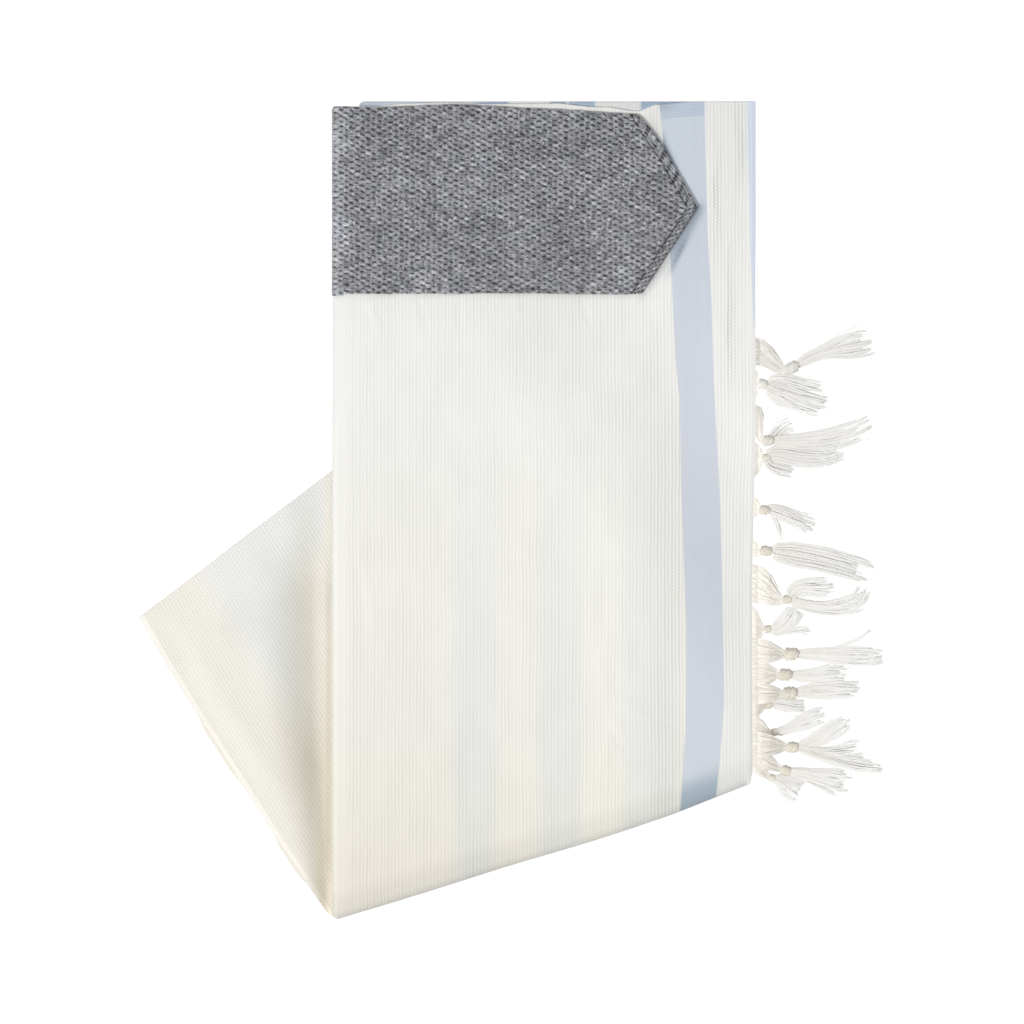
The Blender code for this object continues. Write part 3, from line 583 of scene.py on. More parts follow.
class Slot(enum.Enum):
    """Material slots of the part's record."""

    CLOTH = "white_cloth"
    LAYERS = "folded_layers"
    STRIPED = "striped_cloth"
    BAND = "neckband_weave"
    FRINGE = "fringe_yarn"


class NodeWeb:
    """Adds shader nodes to one material, around its Principled shader."""

    def __init__(self, name: str) -> None:
        self.material = bpy.data.materials.new(name)
        self.material.use_nodes = True
        self.tree = self.material.node_tree
        self.shader = self.tree.nodes["Principled BSDF"]

    def add(self, kind: str, inputs: dict[int | str, object], **settings: object) -> bpy.types.Node:
        """A new node of a kind, with its inputs and its settings."""
        node = self.tree.nodes.new(kind)
        for name, value in settings.items():
            setattr(node, name, value)
        self.feed(node, inputs)
        return node

    def feed(self, node: bpy.types.Node, inputs: dict[int | str, object]) -> None:
        """Links outputs to a node's inputs, or sets the inputs to numbers."""
        for name, value in inputs.items():
            if isinstance(value, Socket):
                self.tree.links.new(value, node.inputs[name])
            else:
                node.inputs[name].default_value = value

    def math(self, operation: str, first: object, second: object = 0.0) -> Socket:
        """Result of a math node."""
        return self.add("ShaderNodeMath", {0: first, 1: second}, operation=operation).outputs[0]

    def times(self, first: object, second: object) -> Socket:
        """Product of two values."""
        return self.math("MULTIPLY", first, second)

    def plus(self, first: object, second: object) -> Socket:
        """Sum of two values."""
        return self.math("ADD", first, second)

    def wave(self, turns: object) -> Socket:
        """A wave from 0 to 1 that is 1 at each whole turn."""
        return self.plus(self.times(self.math("COSINE", self.times(turns, math.tau)), 0.5), 0.5)

    def mark(self, name: str, output: str = "Fac") -> Socket:
        """A value or a colour that is stored with the piece's points."""
        return self.add("ShaderNodeAttribute", {}, attribute_name=name).outputs[output]

    def noise(self, scale: float, detail: float, squeeze: float = 1.0) -> Socket:
        """Noise about 0.5 over object coordinates, which may be squeezed in y."""
        place = self.add("ShaderNodeTexCoord", {}).outputs["Object"]
        if squeeze != 1.0:
            place = self.add("ShaderNodeVectorMath", {0: place, 1: (1.0, squeeze, 1.0)},
                             operation="MULTIPLY").outputs["Vector"]
        inputs = {"Vector": place, "Scale": scale, "Detail": detail}
        return self.add("ShaderNodeTexNoise", inputs).outputs["Fac"]

    def speckled(self, grain: Socket, strength: float) -> Socket:
        """Light about 1 that follows a grain."""
        return self.plus(self.times(self.plus(grain, -0.5), strength), 1.0)

    def yarn(self, light: object, relief: object, bump: float, glows: bool,
             **inputs: object) -> bpy.types.Material:
        """Sets the shader up as yarn whose colour is the piece's tone.

        Args:
            light: Brightness of the tone.
            relief: Height of the surface's fine detail.
            bump: How far that detail rises.
            glows: Whether the piece gives off painted light, as much as its glow.
            inputs: The shader's other inputs, with _ for each space.

        Returns:
            The material.
        """
        tone = self.mark("tone", "Color")
        colour = self.add("ShaderNodeVectorMath", {0: tone, "Scale": light}, operation="SCALE")
        inputs["Base_Color"] = colour.outputs["Vector"]
        if glows:
            inputs.update(Emission_Color=tone, Emission_Strength=self.mark("glow"))
        inputs["Normal"] = self.add(
            "ShaderNodeBump", {"Strength": 1.0, "Distance": bump, "Height": relief}).outputs["Normal"]
        self.feed(self.shader, {name.replace("_", " "): value for name, value in inputs.items()})
        return self.material


@dataclass(frozen=True)
class RibbedFinish:
    """Woven cloth with ribs and small beads along them, smooth where its ribbing is 0."""

    name: str
    groove: float = 0.05
    pair: float = 0.03
    bead: float = 0.04
    grain: float = 0.02
    grain_scale: float = 900.0
    squeeze: float = 0.45
    bump: float = 0.04 * MM
    sheen: float = 0.12
    shine: float = 0.25
    glows: bool = False

    def material(self) -> bpy.types.Material:
        """Builds the material."""
        web = NodeWeb(self.name)
        weave = web.add("ShaderNodeUVMap", {}, uv_map="weave").outputs["UV"]
        u, v, _ = web.add("ShaderNodeSeparateXYZ", {0: weave}).outputs
        ribbing = web.mark("ribbing")
        groove = web.math("POWER", web.wave(u), 1.6)
        pair = web.times(groove, web.wave(web.times(u, 0.5)))
        turned = web.times(web.math("FLOORED_MODULO", web.math("FLOOR", u), 2.0), 0.5)
        bead = web.wave(web.plus(v, turned))
        # Painted shade: the grooves between ribs, every second one more, and the dips between beads are
        # darkened by the ribbing.
        dark = web.plus(web.times(groove, self.groove), web.times(pair, self.pair))
        dark = web.times(web.plus(dark, web.times(bead, self.bead)), ribbing)
        grain = web.noise(self.grain_scale, 3.0, self.squeeze)
        light = web.math("SUBTRACT", web.speckled(grain, self.grain), dark)
        rough = web.plus(web.times(web.math("MINIMUM", ribbing, 1.0), 0.35), 0.5)
        relief = web.math("SUBTRACT", web.times(grain, 0.5), web.times(bead, web.times(ribbing, 0.5)))
        return web.yarn(light, relief, self.bump, self.glows, Roughness=rough,
                        Sheen_Weight=self.sheen, Specular_IOR_Level=self.shine)


@dataclass(frozen=True)
class YarnFinish:
    """Yarn or thick weave whose colour is dyed into its tone."""

    name: str
    grain: float
    grain_scale: float
    roughness: float
    sheen: float
    shine: float = 0.2
    bump: float = 0.1 * MM
    glows: bool = False

    def material(self) -> bpy.types.Material:
        """Builds the material."""
        web = NodeWeb(self.name)
        grain = web.noise(self.grain_scale, 4.0)
        return web.yarn(web.speckled(grain, self.grain), grain, self.bump, self.glows,
                        Roughness=self.roughness, Sheen_Weight=self.sheen,
                        Specular_IOR_Level=self.shine)


# ---------------------------------------------------------------- meshes


def read(items: bpy.types.bpy_prop_collection, name: str, size: int = 1,
         kind: type = float) -> Array:
    """A property of a mesh's points, corners or faces, as numbers or as rows of a size."""
    flat = np.empty(len(items) * size, dtype=kind)
    items.foreach_get(name, flat)
    return flat.reshape(-1, size) if size > 1 else flat


def points_of(mesh: Mesh) -> Array:
    """The mesh's points."""
    return read(mesh.vertices, "co", 3)


def corners_of(mesh: Mesh) -> Array:
    """The point of each face corner."""
    return read(mesh.loops, "vertex_index", kind=np.int32)


def lay(mesh: Mesh, points: Array) -> None:
    """Moves the mesh's points."""
    mesh.vertices.foreach_set("co", np.ascontiguousarray(points, dtype=np.float64).ravel())
    mesh.update()


def paint(mesh: Mesh, name: str, values: Array) -> None:
    """Stores a colour, or a number, for each point."""
    if values.ndim == 2:
        layer = mesh.attributes.new(name, "FLOAT_COLOR", "POINT")
        full = np.concatenate([values, np.ones((len(values), 1))], axis=1)
        layer.data.foreach_set("color", full.astype(np.float32).ravel())
    else:
        layer = mesh.attributes.new(name, "FLOAT", "POINT")
        layer.data.foreach_set("value", values.astype(np.float32))


def face_out(mesh: Mesh, inner: Array | None = None) -> None:
    """Turns the faces away from inner points, or up if there are none."""
    towards = UP if inner is None else read(mesh.polygons, "center", 3) - inner
    if np.sum(read(mesh.polygons, "normal", 3) * towards) < 0:
        mesh.flip_normals()


def to_mesh(shape: bmesh.types.BMesh, name: str) -> Mesh:
    """The finished shape as a mesh."""
    mesh = bpy.data.meshes.new(name)
    shape.to_mesh(mesh)
    shape.free()
    return mesh


def show(name: str, data: bpy.types.ID) -> Piece:
    """Adds an object to the scene."""
    shown = bpy.data.objects.new(name, data)
    bpy.context.scene.collection.objects.link(shown)
    return shown


def place_piece(mesh: Mesh, material: bpy.types.Material,
                node: str, smooth: bool = True) -> Piece:
    """Adds a finished piece that stands for a node of the part.

    Args:
        mesh: Its mesh, in place.
        material: Its finish.
        node: The node that it stands for.
        smooth: Whether its faces are shaded as one.

    Returns:
        The object, which rides on the part.
    """
    piece = show(mesh.name, mesh)
    mesh.materials.append(material)
    mesh.polygons.foreach_set("use_smooth", np.full(len(mesh.polygons), smooth))
    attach(piece, "root")
    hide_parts(node)
    LOG.info("%s: %d points", mesh.name, len(mesh.vertices))
    return piece


class ClothGrid:
    """A fine grid of cloth, or a block of stacked grids, which a rolled rim may go before.

    Its points know their column, row and level, and how far the rim puts them out and up.
    """

    def __init__(self, name: str, columns: int, rows: int, rim: Sequence[tuple] = (),
                 levels: int = 1) -> None:
        rows += len(rim)
        shape = bmesh.new()
        bmesh.ops.create_grid(shape, x_segments=columns - 1, y_segments=rows - 1, size=1.0)
        cap = shape.faces[:]
        for level in range(1, levels):
            grown = bmesh.ops.extrude_face_region(shape, geom=cap, use_keep_orig=True)
            if level > 1:
                bmesh.ops.delete(shape, geom=cap, context="FACES")
            cap = [item for item in grown["geom"] if isinstance(item, bmesh.types.BMFace)]
            for vert in {vert for face in cap for vert in face.verts}:
                vert.co.z = level
        self.mesh = to_mesh(shape, name)
        place = points_of(self.mesh)
        self.column = np.rint((place[:, 0] + 1) / 2 * (columns - 1)).astype(int)
        self.row = np.rint((place[:, 1] + 1) / 2 * (rows - 1)).astype(int) - len(rim)
        self.level = np.rint(place[:, 2]).astype(int)
        self.on_rim = self.row < 0
        steps = np.array([*rim, (0.0, 0.0)]) * MM
        self.rim_out, self.rim_lift = steps[np.minimum(self.row, 0) + len(rim)].T


@dataclass(frozen=True)
class ClothPiece:
    """What every piece of cloth has: the folded shawl's sizes and a finish."""

    plan: FoldPlan
    finish: RibbedFinish | YarnFinish

    def dress(self, grid: ClothGrid, points: Array, slot: Slot, node: str,
              weave: tuple[Array, Array] | None = None, **marks: Array) -> Piece:
        """Lays a grid, stores what its finish reads, and places the piece.

        Args:
            grid: The grid or block.
            points: Where its points lie.
            slot: The record's slot; not used.
            node: The node that it stands for.
            weave: Ribs and picks counted to each point.
            marks: Colours and numbers for each point.

        Returns:
            The object.
        """
        mesh = grid.mesh
        lay(mesh, self.plan.drawn_in(points))
        face_out(mesh, points_of(mesh).mean(axis=0) if grid.level.any() else None)
        if weave:
            corner = corners_of(mesh)
            layer = mesh.uv_layers.new(name="weave").data
            layer.foreach_set("uv", np.stack([count[corner] for count in weave], axis=1)
                              .astype(np.float32).ravel())
        for name, values in marks.items():
            paint(mesh, name, values)
        return place_piece(mesh, self.finish.material(), node)


@dataclass(frozen=True)
class WeaveSize:
    """Sizes of the ribbed weave."""

    pitch: float = 1.84 * MM
    height: float = 0.10 * MM
    wander: float = 0.35 * MM
    rib_steps: int = 4

    def rib_count(self, across: Array, along: Array) -> Array:
        """Ribs counted from the fold, a little wavy as woven."""
        drift = smooth_noise(across, along, 34, 3) + 0.5 * smooth_noise(across, along, 13, 4)
        return (across + self.wander * drift) / self.pitch

    def relief(self, ribs: Array) -> Array:
        """Height of the ribs."""
        return self.height * (0.5 - 0.5 * np.cos(math.tau * ribs))

    def places(self, start: float, end: float) -> Array:
        """Columns of a grid that is fine enough to show the ribs."""
        return np.linspace(start, end, round((end - start) / self.pitch * self.rib_steps) + 1)


# ---------------------------------------------------------------- the front


@dataclass(frozen=True)
class FrontCloth(ClothPiece):
    """The front: the top layer, round both side folds and the crosswise fold."""

    weave: WeaveSize

    ROWS = 178
    FINE_ROWS = 24
    FINE_STEP = 0.45 * MM
    NOSE_ROWS = 14
    NOSE_STEP = 1.2 * MM
    SIDE_COLUMNS = 14
    NOSE_ANGLES = (90, -60)
    NOSE_TURN = 1.9
    MEAN_NOSE_TURN = 1.6
    MOST_RELIEF = 2.5
    RIM = ((-1.4, -1.15), (-0.3, -1.15), (0.1, -0.9), (0.25, -0.6), (0.15, -0.3))

    def build(self) -> Piece:
        """Builds and dresses the front."""
        plan = self.plan
        turn = plan.side_radius * plan.wrap
        low, high = plan.flat_ends
        round_fold = np.linspace(0, turn, self.SIDE_COLUMNS)[1:]
        places = np.concatenate(
            [low - round_fold[::-1], self.weave.places(low, high), high + round_fold])
        grid = ClothGrid("front_cloth", len(places), self.ROWS + self.NOSE_ROWS, self.RIM)
        place, row = places[grid.column], grid.row
        x = plan.side_turn(place)[0]
        share = np.clip((row - self.FINE_ROWS) / (self.ROWS - 1 - self.FINE_ROWS), 0.0, 1.0)
        start = plan.nose_start(x)
        top = plan.neck_edge(x) - self.FINE_STEP * np.clip(row, 0, self.FINE_ROWS)
        y = top + (start - top) * share
        down = plan.neck_y - y + np.maximum(0, row - self.ROWS + 1) * self.NOSE_STEP
        ribs = self.weave.rib_count(place - plan.left_x, down)
        across = plan.drawn_in(stack_xyz(place, y, 0.0))[:, 0] - plan.left_x
        ribbing = self.ribbing(across, down)
        lift = self.weave.relief(ribs) * np.minimum(ribbing, self.MOST_RELIEF)
        lift += self.drape_relief(across, down)
        points = plan.front_point(place, y + grid.rim_out, lift + grid.rim_lift)
        angles = np.radians(np.linspace(*self.NOSE_ANGLES, self.NOSE_ROWS + 1))[1:]
        angle = angles[np.clip(row - self.ROWS, 0, self.NOSE_ROWS - 1)]
        on_nose = (row >= self.ROWS)[:, None]
        points = np.where(on_nose, plan.nose_point(place, angle, lift), points)
        piece = self.dress(
            grid, points, Slot.CLOTH, "front_panel", (ribs, down / self.weave.pitch),
            ribbing=ribbing, tone=self.tone(across, down, x, y), glow=self.glow(place, x, grid.on_rim))
        return piece

    def glow(self, place: Array, x: Array, on_rim: Array) -> Array:
        """Painted light that the cloth gives off at the right fold, which turns from the light, and at the
        neck rim.
        """
        plan = self.plan
        turned = np.maximum(0.0, place - plan.flat_ends[1]) / plan.side_radius - math.radians(11)
        glow = 0.06 * fall(plan.right_x - x, 5, 2)
        glow += 0.34 * (1 - np.exp(-np.maximum(0.0, turned) / math.radians(15)))
        return glow + 0.24 * on_rim

    def satin(self, across: Array, down: Array, soft: float) -> Array:
        """1 on the satin stripe."""
        return window(across, read_table(SATIN_LEFT, down), read_table(SATIN_RIGHT, down), soft)

    def ribbing(self, across: Array, down: Array) -> Array:
        """How strongly the ribs stand out."""
        right_strip = ease((across - read_table(SATIN_RIGHT, down)) / (2 * MM))
        deep = 1.0 + 0.1 * right_strip
        deep += 0.8 * hill(across, 173 * MM, 15 * MM) * rise(down, 100, 120)
        deep += 0.35 * smooth_noise(across, down / 3, 6, 9)
        wavy = across + 0.6 * MM * np.sin(down / (6 * MM))
        for ribs in DEEP_RIBS:
            deep += 1.9 * (hill(wavy, ribs.across, ribs.width) * hill(down, ribs.down, ribs.length))
        deep *= 0.12 + 0.88 * rise(across, 5, 6)
        return deep * (1 - self.satin(across, down, 0.8 * MM))

    def drape_relief(self, across: Array, down: Array) -> Array:
        """Pressed creases, soft wrinkles and slow waves."""
        rise = 0.16 * MM * smooth_noise(across, down, 48, 21)
        rise += 0.07 * MM * smooth_noise(across, down, 17, 22)
        for crease in CREASES:
            turn = math.radians(crease.turn)
            dx, dy = across - crease.across, down - crease.down
            along = dx * math.cos(turn) + dy * math.sin(turn)
            aside = -dx * math.sin(turn) + dy * math.cos(turn) + 1.5 * MM * np.sin(along / (11 * MM))
            rise += crease.rise * hill(along, 0, crease.length / 2) * hill(aside, 0, crease.width)
        return rise

    def tone(self, across: Array, down: Array, x: Array, y: Array) -> Array:
        """Colour of the cloth, with its woven stripes, what shows through, and painted shade and light."""
        to_fold = (y - self.plan.bottom_fold(x)) * self.plan.fold_line[0]
        tone = self.plain_tone(across, down)
        right_strip = ease((across - read_table(SATIN_RIGHT, down)) / (1 * MM))
        strip = dye(239, 239, 236) * read_table(RIGHT_LIGHT, down)[:, None]
        tone = blend(tone, strip, right_strip)
        # Painted shade, darker towards the crosswise fold as it rolls away from the light.
        tone = lighter(tone, -0.085 * fall(to_fold, 17, 10))
        satin = self.satin(across, down, 0.7 * MM)
        tone = blend(tone, self.satin_tone(across, down, to_fold), satin)
        beside_band = self.band_shade(across, down) * np.maximum(0.3 + 0.7 * satin, down > 60 * MM)
        tone = lighter(tone, -beside_band, (1.0, 0.93, 0.86))
        # Painted light on the right fold's edge and on its pale blue stripe, which turn away from the
        # light.
        edge = rise(across, 218.6, 2.2)
        tone = lighter(tone, 0.18 * edge)
        pale = lighter(dye(213, 223, 235), 0.14 * edge + 0.03 * rise(down, 20, 60))
        tone = blend(tone, pale, ease((across - read_table(EDGE_STRIPE, down)) / (0.9 * MM) + 0.5))
        tone = np.clip(lighter(tone, 0.006 * smooth_noise(across, down, 9, 33)), 0.0, 1.0)
        # Painted shade of the neckband on the neck rim between 92 and 160 mm across.
        in_hem = fall(self.plan.neck_edge(x) - y, 2.8, 1.6)
        return lighter(tone, -0.045 * window(across, 92 * MM, 160 * MM, 10 * MM) * in_hem)

    def plain_tone(self, across: Array, down: Array) -> Array:
        """Colour of the plain cloth, with the stripes that show through from the layer below."""
        tone = read_tones(CLOTH_TONES, down)
        low = rise(down, 250, 120)[:, None]
        cool = np.array((-0.028, -0.02, -0.004)) + np.array((-0.03, -0.01, 0.008)) * low
        warm = (0.014, 0.008, 0.0)
        for band in SHOW_BANDS:
            shown = window(across, band.start, band.end, 7 * MM)
            shown *= ease((down - band.from_down) / (110 * MM))
            tone = lighter(tone, shown, cool if band.blue else warm)
        # Painted shade on the small triangle of cloth beside the neckband's shoulder.
        corner = window(across, 162 * MM, 172 * MM, 2 * MM) * fall(down, 17, 6)
        tone = lighter(tone, -0.085 * corner)
        near_satin = window(across, 152 * MM, 190 * MM, 24 * MM)
        tone = lighter(tone, -near_satin, 0.02 - 0.01 * low)
        rightwards = 0.012 * rise(across, 60, 40)
        rightwards += 0.02 * rise(across, 110, 30)
        # Painted shade on the left fold, which faces the key light.
        left_fold_shade = 0.10 * fall(across, 3.4, 2.4)
        return lighter(tone, rightwards - left_fold_shade - 0.007)

    def band_shade(self, across: Array, down: Array) -> Array:
        """The shade beside the neckband's pointed end, which stands off the cloth."""
        shade = np.zeros_like(across)
        for edge in BAND_SHADES:
            run, fall = edge.end_across - edge.across, edge.end_down - edge.down
            dx, dy, length = across - edge.across, down - edge.down, math.hypot(run, fall)
            along = (dx * run + dy * fall) / length ** 2
            off = (dx * fall - dy * run) / length
            share = np.clip(along, 0, 1)
            strength = np.maximum(edge.first + (edge.last - edge.first) * share, 0.0)
            width = edge.width + (edge.last_width - edge.width) * share
            fade = ease(off / (0.6 * MM) + 1) * np.exp(-((np.maximum(off, 0) / width) ** 3))
            shade = np.maximum(shade, strength * window(along, -0.06, 1.06, 0.3) * fade)
        crease = hill(across + 0.49 * (down - 78 * MM), 180.6 * MM, 3.4 * MM) * hill(down, 77 * MM, 20 * MM)
        return np.maximum(shade, 0.55 * crease)

    def satin_tone(self, across: Array, down: Array, to_fold: Array) -> Array:
        """Colour of the satin stripe: stitched arcs in its top hem, fine stripes along it."""
        blue = read_tones(SATIN_TONES, down)
        side = np.clip((across - 170 * MM) / (24 * MM), 0.0, 1.0)
        below = down + 2.9 * MM * np.sqrt(side) - 2.2 * MM
        arcs = 0.5 - 0.5 * np.cos(math.tau * below / (1.35 * MM))
        in_hem = fall(below, 8.6, 1.2)
        blue = lighter(blue, -in_hem, 0.02 + arcs[:, None] * (0.27, 0.19, 0.10))
        corner = fall(below, 5, 3) * ease((0.55 - side) / 0.5)
        blue = lighter(blue, -0.16 * corner)
        # Painted shade, darker towards the crosswise fold.
        blue = lighter(blue, -fall(to_fold, 19, 13), (0.43, 0.35, 0.31))
        blue = lighter(blue, 0.012 * smooth_noise(across, down / 60, 0.9, 31))
        return lighter(blue, 0.008 * smooth_noise(across, down, 5, 32))


@dataclass(frozen=True)
class SecondLayer(ClothPiece):
    """The striped layer just under the front, which shows above its neck edge."""

    weave: WeaveSize

    START = 13.8 * MM
    COLUMNS = 230
    SHOWN = 100 * MM
    HIDDEN_ROWS = 36
    UNDER_FOLD = 2 * MM
    LIFT = 0.15 * MM
    SHORT = 7 * MM
    RIM = ((-0.6, -1.05), (-0.1, -1.0), (0.12, -0.75), (0.16, -0.45), (0.08, -0.15))

    def build(self) -> Piece:
        """Builds and dresses the layer."""
        plan = self.plan
        left, right = plan.left_x + self.START, plan.flat_ends[1]
        downs = np.concatenate([np.linspace(0, 12, 20) * MM, np.linspace(18, 100, 24)[:-1] * MM])
        grid = ClothGrid("second_layer_cloth", self.COLUMNS, len(downs) + self.HIDDEN_ROWS, self.RIM)
        x = np.linspace(left, right, self.COLUMNS)[grid.column]
        corner = 1.3 * MM * (1 - ease((x - left) / (2.2 * MM))) ** 2
        top = plan.neck_y - corner - 0.9 * MM * ease((x - plan.left_x - 187 * MM) / (5 * MM))
        hidden = grid.row - len(downs)
        down = downs[np.clip(grid.row, 0, len(downs) - 1)]
        beyond = np.linspace(0, 1, self.HIDDEN_ROWS)[np.clip(hidden, 0, self.HIDDEN_ROWS - 1)]
        shown_end, end = top - self.SHOWN, plan.nose_start(x) + self.UNDER_FOLD
        y = np.where(hidden < 0, top - down, shown_end + (end - shown_end) * beyond)
        across = x - plan.left_x
        lift = np.where(grid.on_rim, grid.rim_lift, self.LIFT)
        z = plan.rest_height(x, y) + plan.stack - plan.wall + lift
        blue = neck_stripes(across, 0.8 * MM)
        plain, pale, deep = dye(218, 219, 218), dye(186, 196, 206), dye(158, 174, 192)
        tone = blend(plain, blend(pale, deep, rise(across, 70, 12)), blue)
        tone = lighter(tone, 0.025 * smooth_noise(across, down, 1.6, 34))
        # Painted light along the front's neck edge, against the shade under the front's rim.
        beside = ease(1 - np.abs(plan.neck_edge(x) - y) / (1.8 * MM))
        ribs = self.weave.rib_count(across, plan.neck_y - y)
        piece = self.dress(
            grid, stack_xyz(x, y + grid.rim_out, z), Slot.STRIPED, "second_layer",
            (ribs, (plan.neck_y - y) / self.weave.pitch),
            ribbing=0.6 * (1 - blue), tone=lighter(tone, 0.16 * beside))
        return piece


# ---------------------------------------------------------------- folded layers


class LayerRow(NamedTuple):
    """How far a hidden layer stays behind the stack's folds and its neck edge."""

    side: float
    hem: float


FRONT_ROWS = in_mm((0.6, 3.4), (0.8, 2.0), (2.0, 4.2), (2.0, 2.8), kind=LayerRow)
BACK_ROWS = in_mm((0.7, 2.4), (1.5, 0.9), (2.1, 3.1), (2.1, 1.4), (2.1, 2.2), kind=LayerRow)


@dataclass(frozen=True)
class LayerEdge:
    """Rounded edge of one layer: rings round it, and the groove between layers."""

    groove: float = 0.7 * MM
    rings: int = 6

    def levels(self, rows: Sequence[LayerRow], top: float) -> Array:
        """(height, side inset, hem inset, layer) of each ring, from the bottom."""
        thickness = top / len(rows)
        found = []
        for i, row in enumerate(rows):
            for turn in np.linspace(0, 1, self.rings, endpoint=False):
                inset = self.groove * (1 - math.sqrt(max(0.0, 1 - (2 * turn - 1) ** 2)))
                found.append((thickness * (i + turn), row.side + inset, row.hem + inset, i))
        last = rows[-1]
        found.append((top, last.side + self.groove, last.hem + self.groove, len(rows) - 1))
        return np.array(found)


def fold_inset(height: Array, middle: float, radius: float, least: float, wall: float) -> Array:
    """How far a stack stays behind a fold so that it fits its inner face at a height."""
    room = (radius - wall) ** 2 - (height - middle) ** 2
    return radius - np.sqrt(np.maximum(room, least * least))


@dataclass(frozen=True)
class FrontStack(ClothPiece):
    """The front's hidden layers, one rounded solid, layered at its edges."""

    edge: LayerEdge
    weave: WeaveSize

    COLUMNS = 46
    ROWS = 64
    LEAST_ROOM = 1.0 * MM
    CUT_LENGTH = 0.38

    def build(self) -> Piece:
        """Builds and dresses the stack."""
        plan = self.plan
        levels = self.edge.levels(FRONT_ROWS, plan.stack - 2 * plan.cloth - 2 * plan.gap)
        block = ClothGrid("front_fold_layers", self.COLUMNS + 2, self.ROWS, levels=len(levels))
        height, side, hem, layer = levels[block.level].T
        first, last = block.column == 0, block.column == self.COLUMNS + 1
        inner = np.linspace(*plan.flat_ends, self.COLUMNS)[np.clip(block.column - 1, 0, self.COLUMNS - 1)]
        x = np.where(first, plan.left_x + side, np.where(last, plan.right_x - side, inner))
        nose = fold_inset(plan.front_rest + height, plan.nose, plan.nose, self.LEAST_ROOM, plan.wall)
        nose = nose + np.where(first | last, plan.side_radius, 0.0)
        bottom = plan.bottom_fold(x) + (nose + plan.gap) / plan.fold_line[0]
        ripple = 0.35 * MM * smooth_noise(inner, layer, 21, 41)
        start = plan.neck_y - plan.hem_fall - hem + ripple
        y = start + (bottom - start) * block.row / (self.ROWS - 1)
        across, down = x - plan.left_x, plan.neck_y - y
        striped = neck_stripes(across, 1.2 * MM) * fall(down, 10, 4) * (layer % 2)
        tone = blend(lighter(dye(231, 229, 222), -0.02 * layer), dye(178, 190, 203), striped)
        piece = self.dress(
            block, stack_xyz(x, y, plan.rest_height(inner, y) + height), Slot.LAYERS, "front_layers",
            (across / self.weave.pitch, down / self.weave.pitch),
            ribbing=np.full(len(x), 0.5), tone=tone)
        return piece


@dataclass(frozen=True)
class BackStack(ClothPiece):
    """The back strip's hidden layers, which lie flat on the surface."""

    edge: LayerEdge
    weave: WeaveSize

    COLUMNS = 26
    ROWS = 96
    SLIPS = ((0.42, 0.10), (0.80, 0.07))
    SLIP = 2.2 * MM
    LOWEST = 1.0 * MM
    SHORT = 0.6 * MM
    NEAR = (0.0, 1.0 * MM, 3.4 * MM)
    CUT = (0.29, 0.24)

    def slipped(self, share: Array, height: Array) -> Array:
        """How far the lowest layer stands out of the flap's edge."""
        most = np.zeros(len(share))
        for at, half in self.SLIPS:
            most = np.maximum(most, self.SLIP * ease(1.6 - np.abs(share - at) / half))
        return np.where((height <= self.LOWEST) & (height > 0), most, 0.0)

    def build(self) -> Piece:
        """Builds and dresses the stack."""
        plan, width = self.plan, self.plan.back_width
        radius = plan.back_top / 2
        levels = self.edge.levels(BACK_ROWS, plan.back_top - plan.wall)
        near = [place / width for place in self.NEAR]
        shares = np.concatenate([near, np.linspace(0.04, 1.0, self.COLUMNS)])
        block = ClothGrid("back_fold_layers", len(shares), self.ROWS, levels=len(levels))
        height, side, hem, layer = levels[block.level].T
        bound = fold_inset(height, radius, radius, 0.2 * MM, plan.wall)
        side = np.where(height > radius, np.maximum(side, bound), side)
        share = block.row / (self.ROWS - 1)
        first = side - self.slipped(share, height)
        across = first + (width - side - self.SHORT - first) * shares[block.column]
        least = (plan.nose - plan.wall) / 2
        nose = fold_inset(height, plan.nose, plan.nose, least, plan.wall) + plan.gap
        start = plan.hem_along(across) + hem + 0.3 * MM * smooth_noise(across, layer, 17, 44)
        along = start + (plan.strip_end(across, nose, 1.2 * MM) - start) * share
        piece = self.dress(
            block, stack_xyz(*plan.back_place(along, across).T, height), Slot.LAYERS, "back_layers",
            (across / self.weave.pitch, along / self.weave.pitch),
            ribbing=np.full(len(along), 0.7), tone=lighter(dye(236, 230, 216), -0.015 * layer))
        return piece


